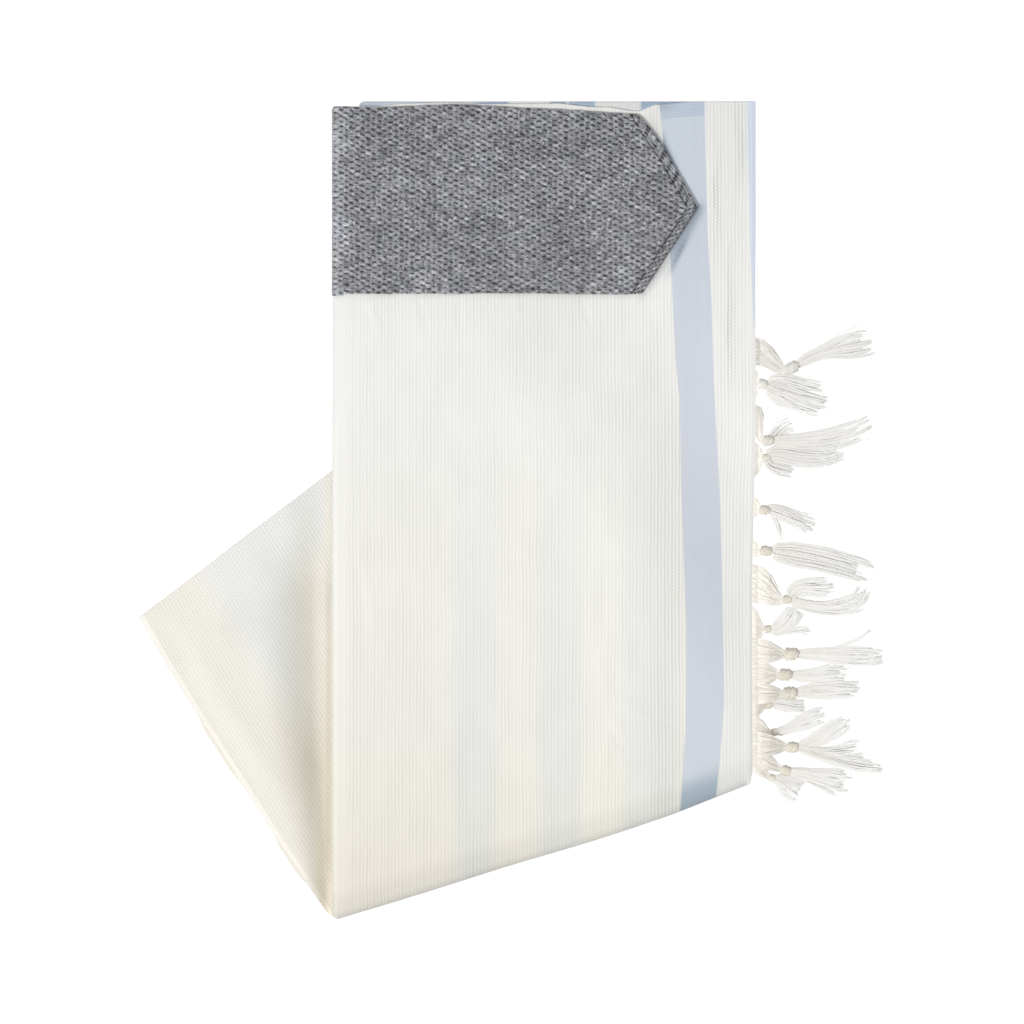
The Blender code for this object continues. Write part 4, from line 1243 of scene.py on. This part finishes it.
@dataclass(frozen=True)
class BackCloth(ClothPiece):
    """The back strip's upper layer, which shows as the flap, round its outer fold."""

    weave: WeaveSize

    ROWS = 150
    HIDDEN_ROWS = 3
    SIDE_COLUMNS = 14
    OVERHANG = 0.8 * MM
    SHOWN_TO = 132 * MM
    SHORT = 2 * MM
    TUCKED = 12 * MM
    UNDER_FRONT = 6 * MM
    CUT = (0.29, 0.23)
    RIM = ((1.0, -1.15), (0.2, -1.1), (-0.12, -0.85), (-0.2, -0.55), (-0.1, -0.2))

    def build(self) -> Piece:
        """Builds and dresses the flap."""
        plan = self.plan
        radius = plan.back_top / 2
        turn = radius * plan.wrap
        width = plan.back_width - self.SHORT
        round_fold = np.linspace(0, turn, self.SIDE_COLUMNS)[1:]
        places = np.concatenate([
            radius - round_fold[::-1], self.weave.places(radius, self.SHOWN_TO),
            np.linspace(self.SHOWN_TO, width, 12)[1:]])
        grid = ClothGrid("back_cloth", len(places), self.ROWS + self.HIDDEN_ROWS, self.RIM)
        place = places[grid.column]
        across = np.maximum(place, radius)
        angle = np.maximum(0.0, radius - place) / radius
        start = plan.hem_along(across) - self.OVERHANG
        end = plan.strip_end(across, plan.nose + plan.gap, 0.8 * MM)
        shown = np.maximum(plan.front_side_along(across, plan.left_x), start + self.TUCKED)
        seen = np.minimum(shown + self.UNDER_FRONT, end)
        share = np.clip(grid.row / (self.ROWS - 1), 0, 1)
        beyond = np.clip((grid.row - self.ROWS + 1) / self.HIDDEN_ROWS, 0, 1)
        along = start + (seen - start) * share + (end - seen) * beyond
        plane = plan.back_place(along + grid.rim_out, across)
        ribs = self.weave.rib_count(place, along)
        lift = 1.2 * self.weave.relief(ribs) * ease((self.SHOWN_TO - place) / (3 * MM))
        lift += self.drape_relief(*plane.T) * ease((across - radius) / (12 * MM))
        reach = radius + np.where(grid.on_rim, grid.rim_lift, lift)
        billow = plan.flap_billow(*plane.T) * ease((across - radius) / (14 * MM))
        aside = plane - plan.back_in * (reach * np.sin(angle))[:, None]
        points = stack_xyz(*aside.T, plan.back_top - radius + reach * np.cos(angle) + billow)
        piece = self.dress(
            grid, points, Slot.CLOTH, "back_panel", (ribs, along / self.weave.pitch),
            ribbing=1.1 + 0.35 * smooth_noise(place, along / 2, 7, 51),
            tone=self.tone(*aside.T, place, along))
        return piece

    def drape_relief(self, x: Array, y: Array) -> Array:
        """Soft waves of the flap, fanning from its lower corner."""
        corner = self.plan.corner_left
        dx, dy = x - corner[0], y - corner[1]
        fan = np.degrees(np.arctan2(dx, np.maximum(dy, 1 * MM)))
        far = ease(np.hypot(dx, dy) / (160 * MM))
        rise = 0.35 * MM * hill(fan, -12, 7) * far - 0.30 * MM * hill(fan, -22, 8) * far
        return rise + 0.12 * MM * smooth_noise(x, y, 26, 52)

    def tone(self, x: Array, y: Array, place: Array, along: Array) -> Array:
        """Colour of the flap, cream at its edges with a cool band along the ribs, with painted shade and
        light beside the front's left fold.
        """
        out, down = self.plan.left_x - x, self.plan.neck_y - y
        reach = (72 + 50 * fall(along, 60, 50)) * MM
        cool = window(place, 40 * MM, reach, 18 * MM)
        cool *= fall(along, 150, 90) * rise(out, 3, 4)
        cool *= np.maximum(fall(along, 30, 20), rise(out, 10, 14))
        tone = blend(dye(242, 238, 229), dye(237, 237, 234), cool)
        for spot in FLAP_SPOTS:
            far = np.hypot(out - spot.out, down - spot.down)
            tone = lighter(tone, spot.light * ease(1 - far / spot.half))
        bend = rise(down, 322, 94)
        middle = (13.8 - 3.3 * rise(down, 255, 100) - 5 * bend) * MM
        half = (16 + 11 * rise(down, 215, 60) - 15 * bend) * MM
        # Painted shade in the trough beside the front's left fold.
        trough = hill(out, middle, np.where(out < middle, middle, half))
        tone = lighter(tone, -trough * read_table(FLAP_TROUGH_SHADE, down), (0.95, 1.0, 1.2))
        # Painted warm, slightly darker cast beside the front's left fold, for shade and light thrown back
        # from the front's edge.
        warm = fall(out, 10, 8) * rise(down, 200, 170)
        tone = lighter(tone, -warm, (0.02, 0.06, 0.15))
        # Painted light close to the front's left fold, against the shade at its foot.
        lit_beside_front = fall(out, 5, 4) * rise(down, 200, 80)
        tone = lighter(tone, 0.15 * lit_beside_front)
        return np.clip(lighter(tone, 0.008 * smooth_noise(place, along, 9, 54)), 0.0, 1.0)


# ---------------------------------------------------------------- neckband


@dataclass(frozen=True)
class BandSize:
    """Sizes of the neckband and its weave."""

    drop: float = 97.5 * MM
    cloth: float = 1.4 * MM
    shoulder: float = 160.5 * MM
    tip: float = 189.5 * MM
    tip_share: float = 0.454
    clear: float = 0.45 * MM
    tip_lift: float = 0.2 * MM
    end_fall: float = 0.6 * MM
    hem: float = 4.4 * MM
    hem_rise: float = 0.4 * MM
    hem_slope: float = math.radians(31)
    warp: float = 2.86 * MM
    weft: float = 1.49 * MM
    slant: float = 0.086
    crown: float = 0.22 * MM
    corner: float = 1.6 * MM
    top_slack: float = 0.35 * MM
    contrast: float = 1.46
    rim_share: float = 0.6


@dataclass(frozen=True)
class Neckband(ClothPiece):
    """The neckband: grey weave over the front's upper end, with a hemmed point."""

    size: BandSize

    SIDE_COLUMNS = 16
    COLUMNS = 430
    ROWS = 206
    PATCHES = 0.10
    FLECKS = 0.36
    HEM_CELL = (3.2 * MM, 1.25 * MM)
    HEM_SLANT = 1.7
    RIM = ((-0.5, -1.25), (0.12, -1.1), (0.3, -0.7), (0.2, -0.3))

    def end_x(self, share: Array) -> Array:
        """X of the pointed end at a share of the band's height."""
        size = self.size
        low, high = self.plan.left_x + size.shoulder, self.plan.left_x + size.tip
        rising = low + (high - low) * share / size.tip_share
        falling = low + (high - low) * (1 - share) / (1 - size.tip_share)
        return np.where(share < size.tip_share, rising, falling)

    def edges(self, place: Array, share: Array, end: Array) -> tuple[Array, Array]:
        """Y of the band's lower and upper edge, whose left corner is round."""
        plan, size = self.plan, self.size
        x = plan.side_turn(place)[0]
        low = plan.flat_ends[0]
        top = plan.neck_y - read_table(BAND_TOP, x - plan.left_x) - size.top_slack
        top += 0.15 * MM * smooth_noise(x, x, 5, 61)
        from_fold = plan.side_radius * (1 - np.sin(np.maximum(0, low - place) / plan.side_radius))
        from_fold = np.where(place < low, from_fold, place - plan.left_x)
        short = np.maximum(0.0, size.corner - from_fold)
        top -= size.corner - np.sqrt(np.maximum(0.0, size.corner ** 2 - short ** 2))
        top -= 1.3 * MM * ease(1 - (end - place) / (2.8 * MM)) * ease((share - 0.85) / 0.15)
        bottom = plan.neck_y - plan.hem_fall - size.drop + 0.3 * MM * smooth_noise(x, x, 14, 62)
        return bottom - 1.0 * MM * ease((plan.left_x + 7 * MM - x) / (3 * MM)), top

    def rest_lift(self, place: Array, share: Array, end: Array) -> Array:
        """How far the band's face lies over the front's plain one."""
        plan, size = self.plan, self.size
        to_tip = np.hypot(end - place, (share - size.tip_share) * size.drop)
        to_tip = to_tip + plan.left_x + size.tip - end
        turn = np.clip((plan.flat_ends[0] - place) / plan.side_radius, 0.0, math.pi / 2)
        lift = (plan.rib_height + size.clear + size.cloth) * (1 - 0.8 * np.sin(turn))
        lift = lift + size.tip_lift * ease(1 - to_tip / (32 * MM))
        return lift - size.end_fall * ease(1 - (end - place) / (7 * MM))

    def build(self) -> Piece:
        """Builds and dresses the neckband."""
        plan, size = self.plan, self.size
        low = plan.flat_ends[0]
        wrapped = np.linspace(0, plan.side_radius * plan.wrap, self.SIDE_COLUMNS)[1:][::-1]
        rims = len(self.RIM)
        grid = ClothGrid("neckband_weave", len(wrapped) + self.COLUMNS + rims, self.ROWS + rims, self.RIM)
        share = np.clip(grid.row / (self.ROWS - 1), 0, 1)
        end = self.end_x(share)
        column = grid.column - len(wrapped)
        inside = np.clip(column / (self.COLUMNS - 1), 0, 1)
        place = np.where(column < 0, low - wrapped[np.minimum(grid.column, len(wrapped) - 1)],
                         low + (end - low) * inside)
        bottom, top = self.edges(place, share, end)
        y = bottom + (top - bottom) * share
        across, hem_in = place - plan.left_x, (end - place) * math.cos(size.hem_slope)
        height, tone = self.weave(across, y, hem_in)
        along_hem = np.abs(share - size.tip_share) * size.drop
        stitch = 0.35 + 0.45 * (smooth_noise(along_hem, along_hem, 1.6, 72) > -0.1)
        tone = lighter(tone, -stitch * hill(hem_in, size.hem, 0.75 * MM))
        below, above, right = grid.row < 0, grid.row >= self.ROWS, column >= self.COLUMNS
        step_y = np.where(below, -1 - grid.row, np.where(above, grid.row - self.ROWS, -1))
        step = np.maximum(np.where(right, column - self.COLUMNS, -1), step_y)
        on_rim = step >= 0
        ring = np.array(self.RIM[::-1]) * MM
        rim_out, rim_lift = np.where(on_rim, ring[np.clip(step, 0, rims - 1)].T, 0.0)
        lift = self.rest_lift(place, share, end) + rim_lift
        lift = lift + (height + self.hem_height(hem_in)) * np.where(on_rim, size.rim_share, 1.0)
        out_y = rim_out * (above.astype(int) - below)
        # Painted light on the band's round left side and on its rims, most on the rims of its pointed end,
        # which face away from the light.
        light = 1 + read_table(BAND_LIGHT, across) + 0.35 * on_rim + 0.45 * right
        light += 0.035 * rise(across, 135, 30)
        piece = self.dress(
            grid, plan.front_point(place + rim_out * right, y + out_y, lift), Slot.BAND, "neckband",
            tone=np.clip(tone * light[:, None], 0.0, 1.0))
        return piece

    def hem_height(self, hem_in: Array) -> Array:
        """Rise of the turned hem along the pointed end, with its stitched line pulled down."""
        size = self.size
        raised = size.hem_rise * ease((size.hem - hem_in) / (0.7 * MM)) * ease(hem_in / (0.8 * MM) + 0.4)
        return raised - 0.22 * MM * hill(hem_in, size.hem - 1.0 * MM, 0.5 * MM)

    def weave(self, across: Array, y: Array, hem_in: Array) -> tuple[Array, Array]:
        """Height and colour of the coarse mottled weave, which runs aslant in the turned hem."""
        size = self.size
        drift = 0.32 * smooth_noise(across, y, 19, 63)
        over = across / size.warp + 0.19 * smooth_noise(across, y, 5, 64)
        along = (y + size.slant * across) / size.weft + drift + 0.27 * smooth_noise(across, y, 4, 65)
        plain = self.cells(over, along, 66)
        warp, weft = self.HEM_CELL
        hem = self.cells((across + self.HEM_SLANT * y) / warp, hem_in / weft + 0.3, 80)
        in_hem = ease((size.hem - hem_in) / (0.5 * MM) + 0.5)
        height, light = (flat + (turned - flat) * in_hem for flat, turned in zip(plain, hem))
        light *= 1 + self.PATCHES * smooth_noise(across, y, 24, 70)
        light *= 1 + self.FLECKS * smooth_noise(across, y, 0.8, 75)
        light = 1.0 + (light - 1.0) * size.contrast * (0.6 + 0.4 * rise(across, -1, 7))
        tint = 0.02 * smooth_noise(across, y, 8, 71)
        tone = dye(136, 137, 141) * np.clip(light, 0.14, 2.6)[:, None]
        return height, lighter(tone, tint, (-1.0, 0.0, 1.0))

    def cells(self, over: Array, along: Array, seed: int) -> tuple[Array, Array]:
        """Height and light of a plain weave, whose cells are counted across and along.

        Args:
            over: Cells counted across.
            along: Cells counted along.
            seed: Which random dye and wear the cells have.

        Returns:
            The height over the cloth, and the light, 1 for plain yarn.
        """
        i, j = np.floor(over), np.floor(along)
        a, b = over - i - 0.5, along - j - 0.5
        lean, pit_depth, shift, gleam_size, dyed, lift, shade = (
            cell_noise(i, j, seed + step) for step in range(7))
        raised = np.mod(i + j, 2) < 0.5
        crown = np.cos(math.pi * a) ** 0.7 * np.cos(math.pi * b) ** 0.7
        height = self.size.crown * crown * np.where(raised, 1.0, 0.3)
        lean = 0.35 + 0.3 * lean
        # The pit is painted shade in the hollow of each sunken cell, and the gleam a painted highlight on
        # each raised yarn.
        pit_shade = (0.95 + 0.50 * pit_depth) * np.exp(
            -((a / 0.40) ** 2) - ((b + lean * a + 0.5 * a * a) / 0.30) ** 2)
        gleam = (np.maximum(0.0, 0.10 + 0.8 * gleam_size) + 0.12) * np.exp(
            -(((a - 0.24 * shift) / 0.36) ** 2) - ((b - 0.24 * lift + lean * a) / 0.26) ** 2)
        ring = np.hypot(a / 0.46, (b + 0.2 * a) / 0.44)
        net = 0.42 * np.exp(-(((ring - 1.0) / 0.26) ** 2)) * (0.75 + 0.5 * shade)
        return height, 0.96 + 0.16 * dyed + net + np.where(raised, 1.1 * gleam - 0.10, -1.2 * pit_shade)


# ---------------------------------------------------------------- fringe


class StrandBundle:
    """Many thin strands as one mesh, each a small tube along its own path."""

    SIDES = 3
    SPACING = 10.0
    LOWEST = 0.05 * MM

    def __init__(self, name: str, stations: int, settle: Callable[[Array], Array]) -> None:
        self.name = name
        self.stations = stations
        self.settle = settle
        self.strands: list[tuple[Array, Array, Array, Array]] = []

    def add(self, path: Array, radius: Array, tone: Array, glow: Array) -> None:
        """Adds one strand: its points, radii, colours and glow, one for each station."""
        count = self.stations
        self.strands.append((path, np.broadcast_to(radius, count),
                             np.broadcast_to(tone, (count, 3)), np.broadcast_to(glow, count)))

    def tube(self) -> Mesh:
        """One tube in counting space, with a ring for each station."""
        shape = bmesh.new()
        bmesh.ops.create_circle(shape, segments=self.SIDES, radius=1.0)
        edges = shape.edges[:]
        for _ in range(self.stations - 1):
            grown = bmesh.ops.extrude_edge_only(shape, edges=edges)["geom"]
            verts = [item for item in grown if isinstance(item, bmesh.types.BMVert)]
            edges = [item for item in grown if isinstance(item, bmesh.types.BMEdge)]
            bmesh.ops.translate(shape, verts=verts, vec=UP)
        return to_mesh(shape, self.name + "_tube")

    def build(self) -> Mesh:
        """Copies the tube for each strand with an array, and lays the copies on their paths."""
        source = show(self.name + "_tube", self.tube())
        copies = source.modifiers.new("strands", "ARRAY")
        copies.count = len(self.strands)
        copies.use_relative_offset = False
        copies.use_constant_offset = True
        copies.constant_offset_displace = (self.SPACING, 0.0, 0.0)
        graph = bpy.context.evaluated_depsgraph_get()
        mesh = bpy.data.meshes.new_from_object(source.evaluated_get(graph))
        mesh.name = self.name
        bpy.data.objects.remove(source, do_unlink=True)
        points = points_of(mesh)
        strand = np.rint(points[:, 0] / self.SPACING).astype(int)
        ring = np.rint(points[:, 2]).astype(int)
        angle = np.arctan2(points[:, 1], points[:, 0] - strand * self.SPACING)[:, None]
        angle += math.pi / 2 + math.pi / self.SIDES - angle[0]
        paths, radii, tones, glows = map(np.array, zip(*self.strands))
        ahead = unit(np.gradient(paths, axis=1))
        side = unit(np.cross(np.array((0.001, 0.002, 1.0)), ahead))
        up = np.cross(ahead, side)
        around = side[strand, ring] * np.cos(angle) + up[strand, ring] * np.sin(angle)
        placed = paths[strand, ring] + radii[strand, ring][:, None] * around
        placed[:, 2] = np.maximum(placed[:, 2], self.LOWEST)
        lay(mesh, self.settle(placed))
        paint(mesh, "tone", tones[strand, ring])
        paint(mesh, "glow", glows[strand, ring])
        centres = self.settle(paths[strand, ring])
        face_out(mesh, centres[corners_of(mesh)].reshape(-1, 4, 3).mean(axis=1))
        return mesh


@dataclass(frozen=True)
class TasselSize:
    """Sizes of the knots and strands."""

    knot_length: float = 3.9 * MM
    knot_width: float = 3.2 * MM
    knot_height: float = 2.7 * MM
    knot_end: float = 0.7
    knot_z: float = 3.2 * MM
    root_z: float = 1.15 * MM
    tail_z: float = 2.7 * MM
    tip_z: float = 2.3 * MM
    lowest: float = 0.35 * MM
    lowest_wrap: float = 0.45 * MM
    inside: float = 1.2 * MM
    gather: float = 1.3 * MM
    neck: float = 1.6 * MM
    short_share: float = 0.15
    stray_share: float = 0.10
    strand: float = 0.25 * MM
    wrap: float = 0.52 * MM
    wraps: int = 10
    core: float = 0.78
    # Painted light that the yarn gives off: a little everywhere, more near the cloth's edge and along the
    # roots, which the cloth shades.
    glow: float = 0.15
    root_glow: float = 0.28
    edge_glow: float = 0.42
    fullness: float = 1.18


class Fringe:
    """The knotted fringe: for each tassel its roots, its knot and its tails."""

    ROOT_STATIONS = 6
    TAIL_STATIONS = 10
    YARNS = 7
    SEED = 29

    def __init__(self, plan: FoldPlan, size: TasselSize, finish: YarnFinish) -> None:
        self.plan = plan
        self.size = size
        self.finish = finish
        self.draw = np.random.default_rng(self.SEED)

    def place(self, out: float, down: float, z: float) -> Array:
        """A point of the fringe, from the right fold and the neck edge."""
        return np.array((self.plan.right_x + out, self.plan.neck_y - down, z))

    def build(self) -> list[Piece]:
        """Builds and dresses every tassel."""
        material = self.finish.material()
        pieces = []
        for number, root in enumerate(TASSEL_ROOTS, start=1):
            tails = [row for row in TAIL_ROWS if row.tassel == number]
            mesh = self.tassel(f"fringe_tassel_{number:02d}", root, tails)
            pieces.append(place_piece(mesh, material, f"tassel_{number:02d}", smooth=False))
        return pieces

    def tassel(self, name: str, root: TasselRoot, tails: Sequence[TailRow]) -> Mesh:
        """One tassel as a mesh of strands, each through a root, the knot and a tail."""
        size, draw = self.size, self.draw
        stations = self.ROOT_STATIONS + self.TAIL_STATIONS
        bundle = StrandBundle(name, stations, self.plan.drawn_in)
        centre = self.place(root.knot_out, root.knot_down, size.knot_z)
        weight = np.array([row.fill for row in tails])
        heading = [(row.out[0] * MM, row.down[0] * MM) for row in tails]
        middle = np.average(heading, axis=0, weights=weight)
        ahead = unit(self.place(*middle, size.knot_z) - centre)
        side = np.cross(UP, ahead)
        shares = ease(np.linspace(-0.15, 1.1, stations))
        low = float(rise(root.knot_down, 185, 50))
        for tail in tails:
            count = round(root.strands * tail.fill / weight.sum())
            locks = np.linspace(-0.9, 0.9, 3 + round(sum(tail.half) / 3))
            locks = locks + draw.uniform(-0.11, 0.11, len(locks))
            reaches = 1 - draw.uniform(0, 0.16, len(locks)) * (draw.random(len(locks)) < 0.7)
            for index in range(count):
                lane = (index + draw.uniform(0.1, 0.9)) / count * 2 - 1
                path = np.concatenate([
                    self.root_path(root, centre, ahead, side),
                    self.tail_path(tail, root, centre, ahead, lane, locks, reaches),
                ])
                radius = size.strand * draw.uniform(0.8, 1.2) * np.ones(stations)
                radius[-1] *= 0.4
                light = root.light * draw.uniform(0.97, 1.02)
                fleck = draw.uniform(0.86, 1.04)
                cream, white = dye(236, 232, 224) * light * fleck, dye(234, 233, 230) * light
                cream += (white - cream) * 0.3 * fall(root.knot_down, 220, 80)
                out = path[:, 0] - self.plan.right_x
                # Painted light on the roots, most where they leave the cloth's edge in its shade.
                glow = size.glow + size.edge_glow * (0.92 + 0.08 * low) * fall(out, 3.0, 2.6)
                glow += size.root_glow * (0.3 + 0.7 * low) * fall(out, 12, 9)
                bundle.add(path, radius, np.clip(blend(cream, white, shares), 0, 1), glow)
        self.knot(bundle, root, centre, ahead, side)
        return bundle.build()

    def root_path(self, root: TasselRoot, centre: Array, ahead: Array, side: Array) -> Array:
        """A strand from the cloth's edge into the knot, straight out at first."""
        size, draw = self.size, self.draw
        share = draw.uniform(0, 1)
        yarn = (math.floor(share * self.YARNS) + 0.5) / self.YARNS
        share += (yarn - share) * 0.45
        down = root.start + (root.end - root.start) * share
        rest = float(self.plan.rest_height(self.plan.right_x, self.plan.neck_y - down))
        start = self.place(-size.inside, down, rest + size.root_z + draw.uniform(-0.7, 0.7) * MM)
        lane = (0.5 - share) * 2
        into = centre - ahead * size.knot_length * root.knot * size.knot_end
        into = into + side * lane * size.gather + UP * draw.uniform(-1.0, 1.0) * MM
        far = np.linalg.norm(into - start)
        first = start + np.array((far * draw.uniform(0.25, 0.55), draw.normal(0, 0.9) * MM,
                                  draw.uniform(-0.5, 2.2) * MM))
        second = into - ahead * far * draw.uniform(0.12, 0.34)
        second[1] += lane * draw.uniform(0.0, 0.18) * (root.end - root.start)
        t = np.linspace(0, 1, self.ROOT_STATIONS)[:, None]
        path = (start * (1 - t) ** 3 + first * 3 * (1 - t) ** 2 * t
                + second * 3 * (1 - t) * t ** 2 + into * t ** 3)
        path[:, 2] = np.maximum(path[:, 2], size.lowest)
        return path

    def tail_path(self, tail: TailRow, root: TasselRoot, centre: Array, ahead: Array,
                  lane: float, locks: Array, reaches: Array) -> Array:
        """A strand from the knot to the tip of its tail, which parts into locks."""
        size, draw = self.size, self.draw
        front = centre + ahead * size.knot_length * root.knot * size.knot_end
        nodes = [self.place(out * MM, down * MM, z) for out, down, z in
                 zip(tail.out, tail.down, (size.tail_z, size.tail_z, size.tip_z))]
        nearest = int(np.argmin(np.abs(locks - lane)))
        reach = reaches[nearest] * (1.0 - 0.10 * draw.random() ** 2)
        if draw.random() < size.short_share:
            reach = draw.uniform(0.55, 0.9)
        t = np.linspace(0.0, 1.0, self.TAIL_STATIONS)[:, None] * reach
        path = (front * (1 - 3 * t) * (2 - 3 * t) * (1 - t) / 2
                + nodes[0] * 9 * t * (2 - 3 * t) * (1 - t) / 2
                - nodes[1] * 9 * t * (1 - 3 * t) * (1 - t) / 2
                + nodes[2] * t * (1 - 3 * t) * (2 - 3 * t) / 2)
        half = np.array(tail.half) * MM * size.fullness
        start = min(size.neck, half[0])
        width = np.interp(t[:, 0], (0, 0.1, 0.33, 0.66, 1.0),
                          (start, 0.45 * start + 0.55 * half[0], *half))
        thick = np.interp(t[:, 0], (0, 0.25, 0.6, 1.0), (1.3, 1.4, 1.2, 0.7)) * MM
        parted = lane + (locks[nearest] - lane) * 0.74 * ease((t - 0.35) / 0.6)
        level = draw.uniform(-1, 1) * math.sqrt(max(0.05, 1 - lane * lane))
        aside = unit(np.cross(UP, unit(np.gradient(path, axis=0))))
        stray = draw.normal(0, 0.35) * MM * t ** 2
        if draw.random() < size.stray_share:
            stray = draw.normal(0, 2.4) * MM * t ** 2
        sway = 0.4 * MM * np.sin(t * 6 + 2 * lane + tail.tassel) * t
        path = path + aside * (parted * width[:, None] + stray + sway)
        path[:, 2] = np.maximum(path[:, 2] + level * np.minimum(thick, width), size.lowest)
        return path

    def knot(self, bundle: StrandBundle, root: TasselRoot, centre: Array, ahead: Array,
             side: Array) -> None:
        """Thick strands wrapped aslant round the knot, over a full core."""
        size, draw = self.size, self.draw
        upper = 0.7 * float(fall(root.knot_down, 200, 50))
        plain, grey = dye(219, 213, 200), dye(230, 230, 226)
        length, width, height = (root.knot * span for span in
                                 (size.knot_length, size.knot_width, size.knot_height))
        for shrink in (1.0, size.core):
            for index in range(size.wraps):
                along = (index + 0.5) / size.wraps * 2 - 1
                theta = np.linspace(0, math.tau * 1.04, bundle.stations) + draw.uniform(0, math.tau)
                slant = 0.55 * np.cos(theta) + draw.normal(0, 0.05)
                at = np.clip(along * 0.85 + slant * (1 - abs(along) * 0.7), -0.95, 0.95)
                girth = (1 - np.abs(at) ** 3) ** (1 / 3) * shrink * draw.uniform(0.9, 1.04)
                path = (centre + ahead * (at * length)[:, None]
                        + side * (np.cos(theta) * girth * width)[:, None]
                        + UP * (np.sin(theta) * girth * height)[:, None])
                path[:, 2] = np.maximum(path[:, 2], size.lowest_wrap)
                tone = (plain + (grey - plain) * upper) * root.light * draw.uniform(0.90, 1.06)
                bundle.add(path, size.wrap * draw.uniform(0.8, 1.15), np.clip(tone, 0, 1), size.glow)


# ---------------------------------------------------------------- studio


@dataclass(frozen=True)
class Studio:
    """Floor, light and camera."""

    camera_height: float = 2.6
    focus_height: float = 10 * MM
    view_width: float = 532.48 * MM
    view_x: float = 0.52 * MM
    view_y: float = -0.26 * MM
    film: float = 36.0
    floor_half: float = 4.0
    floor_glow: float = 1.05
    room_side: float = 0.30
    room_top: float = 0.59
    key: float = 2.47
    key_rise: float = math.radians(46)
    key_side: float = math.radians(204)
    key_spread: float = math.radians(13)

    def build(self) -> None:
        """Sets up the studio."""
        self.floor()
        self.light()
        self.camera()
        bpy.context.scene.view_settings.view_transform = "Standard"

    def floor(self) -> None:
        """A plain floor that shows as clean white and gives the object little light back."""
        shape = bmesh.new()
        bmesh.ops.create_grid(shape, x_segments=1, y_segments=1, size=self.floor_half)
        floor = show("floor", to_mesh(shape, "floor"))
        web = NodeWeb("pale_floor")
        web.feed(web.shader, {"Base Color": (0.6, 0.6, 0.6, 1.0), "Roughness": 0.9,
                              "Specular IOR Level": 0.0})
        glow = web.add("ShaderNodeEmission", {"Strength": self.floor_glow})
        seen = web.add("ShaderNodeLightPath", {}).outputs["Is Camera Ray"]
        mix = web.add("ShaderNodeMixShader", {0: seen, 1: web.shader.outputs[0], 2: glow.outputs[0]})
        web.feed(web.tree.nodes["Material Output"], {"Surface": mix.outputs[0]})
        floor.data.materials.append(web.material)

    def light(self) -> None:
        """A soft room, brighter overhead than at its sides, and one soft key light from the left."""
        world = bpy.data.worlds.new("studio")
        bpy.context.scene.world = world
        world.use_nodes = True
        nodes, links = world.node_tree.nodes, world.node_tree.links
        height = nodes.new("ShaderNodeSeparateXYZ")
        links.new(nodes.new("ShaderNodeTexCoord").outputs["Generated"], height.inputs[0])
        level = nodes.new("ShaderNodeMath")
        level.operation = "MULTIPLY_ADD"
        links.new(height.outputs["Z"], level.inputs[0])
        level.inputs[1].default_value = self.room_top
        level.inputs[2].default_value = self.room_side
        links.new(level.outputs[0], nodes["Background"].inputs["Strength"])
        nodes["Background"].inputs["Color"].default_value = (1.0, 1.0, 1.0, 1.0)
        data = bpy.data.lights.new("key", "SUN")
        data.energy = self.key
        data.angle = self.key_spread
        show("key", data).rotation_euler = (0.0, math.pi / 2 - self.key_rise, self.key_side)

    def camera(self) -> None:
        """A long lens straight above."""
        data = bpy.data.cameras.new("camera")
        data.sensor_width = self.film
        data.lens = self.film * (self.camera_height - self.focus_height) / self.view_width
        data.clip_start = 0.05
        data.clip_end = 20.0
        camera = show("camera", data)
        camera.location = (self.view_x, self.view_y, self.camera_height)
        bpy.context.scene.camera = camera


def main() -> None:
    """Builds the shawl's pieces in order and reports each."""
    logging.basicConfig(level=logging.INFO, format="%(name)s: %(message)s")
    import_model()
    Studio().build()
    plan, weave, edge = FoldPlan(), WeaveSize(), LayerEdge()
    layered = RibbedFinish("folded_layers", groove=0.03, pair=0.0, bead=0.03)
    flap = RibbedFinish("flap_cloth", groove=0.02, pair=0.01, bead=0.035)
    band = YarnFinish("mottled_band", grain=0.5, grain_scale=1400.0, roughness=0.9, sheen=0.1)
    yarn = YarnFinish("fringe_yarn", grain=0.08, grain_scale=900.0, roughness=0.75, sheen=0.25,
                      glows=True)
    BackStack(plan, layered, edge, weave).build()
    BackCloth(plan, flap, weave).build()
    FrontStack(plan, layered, edge, weave).build()
    SecondLayer(plan, RibbedFinish("striped_cloth"), weave).build()
    FrontCloth(plan, RibbedFinish("ribbed_cloth", glows=True), weave).build()
    Neckband(plan, band, BandSize()).build()
    Fringe(plan, TasselSize(), yarn).build()


if __name__ == "__main__":
    main()
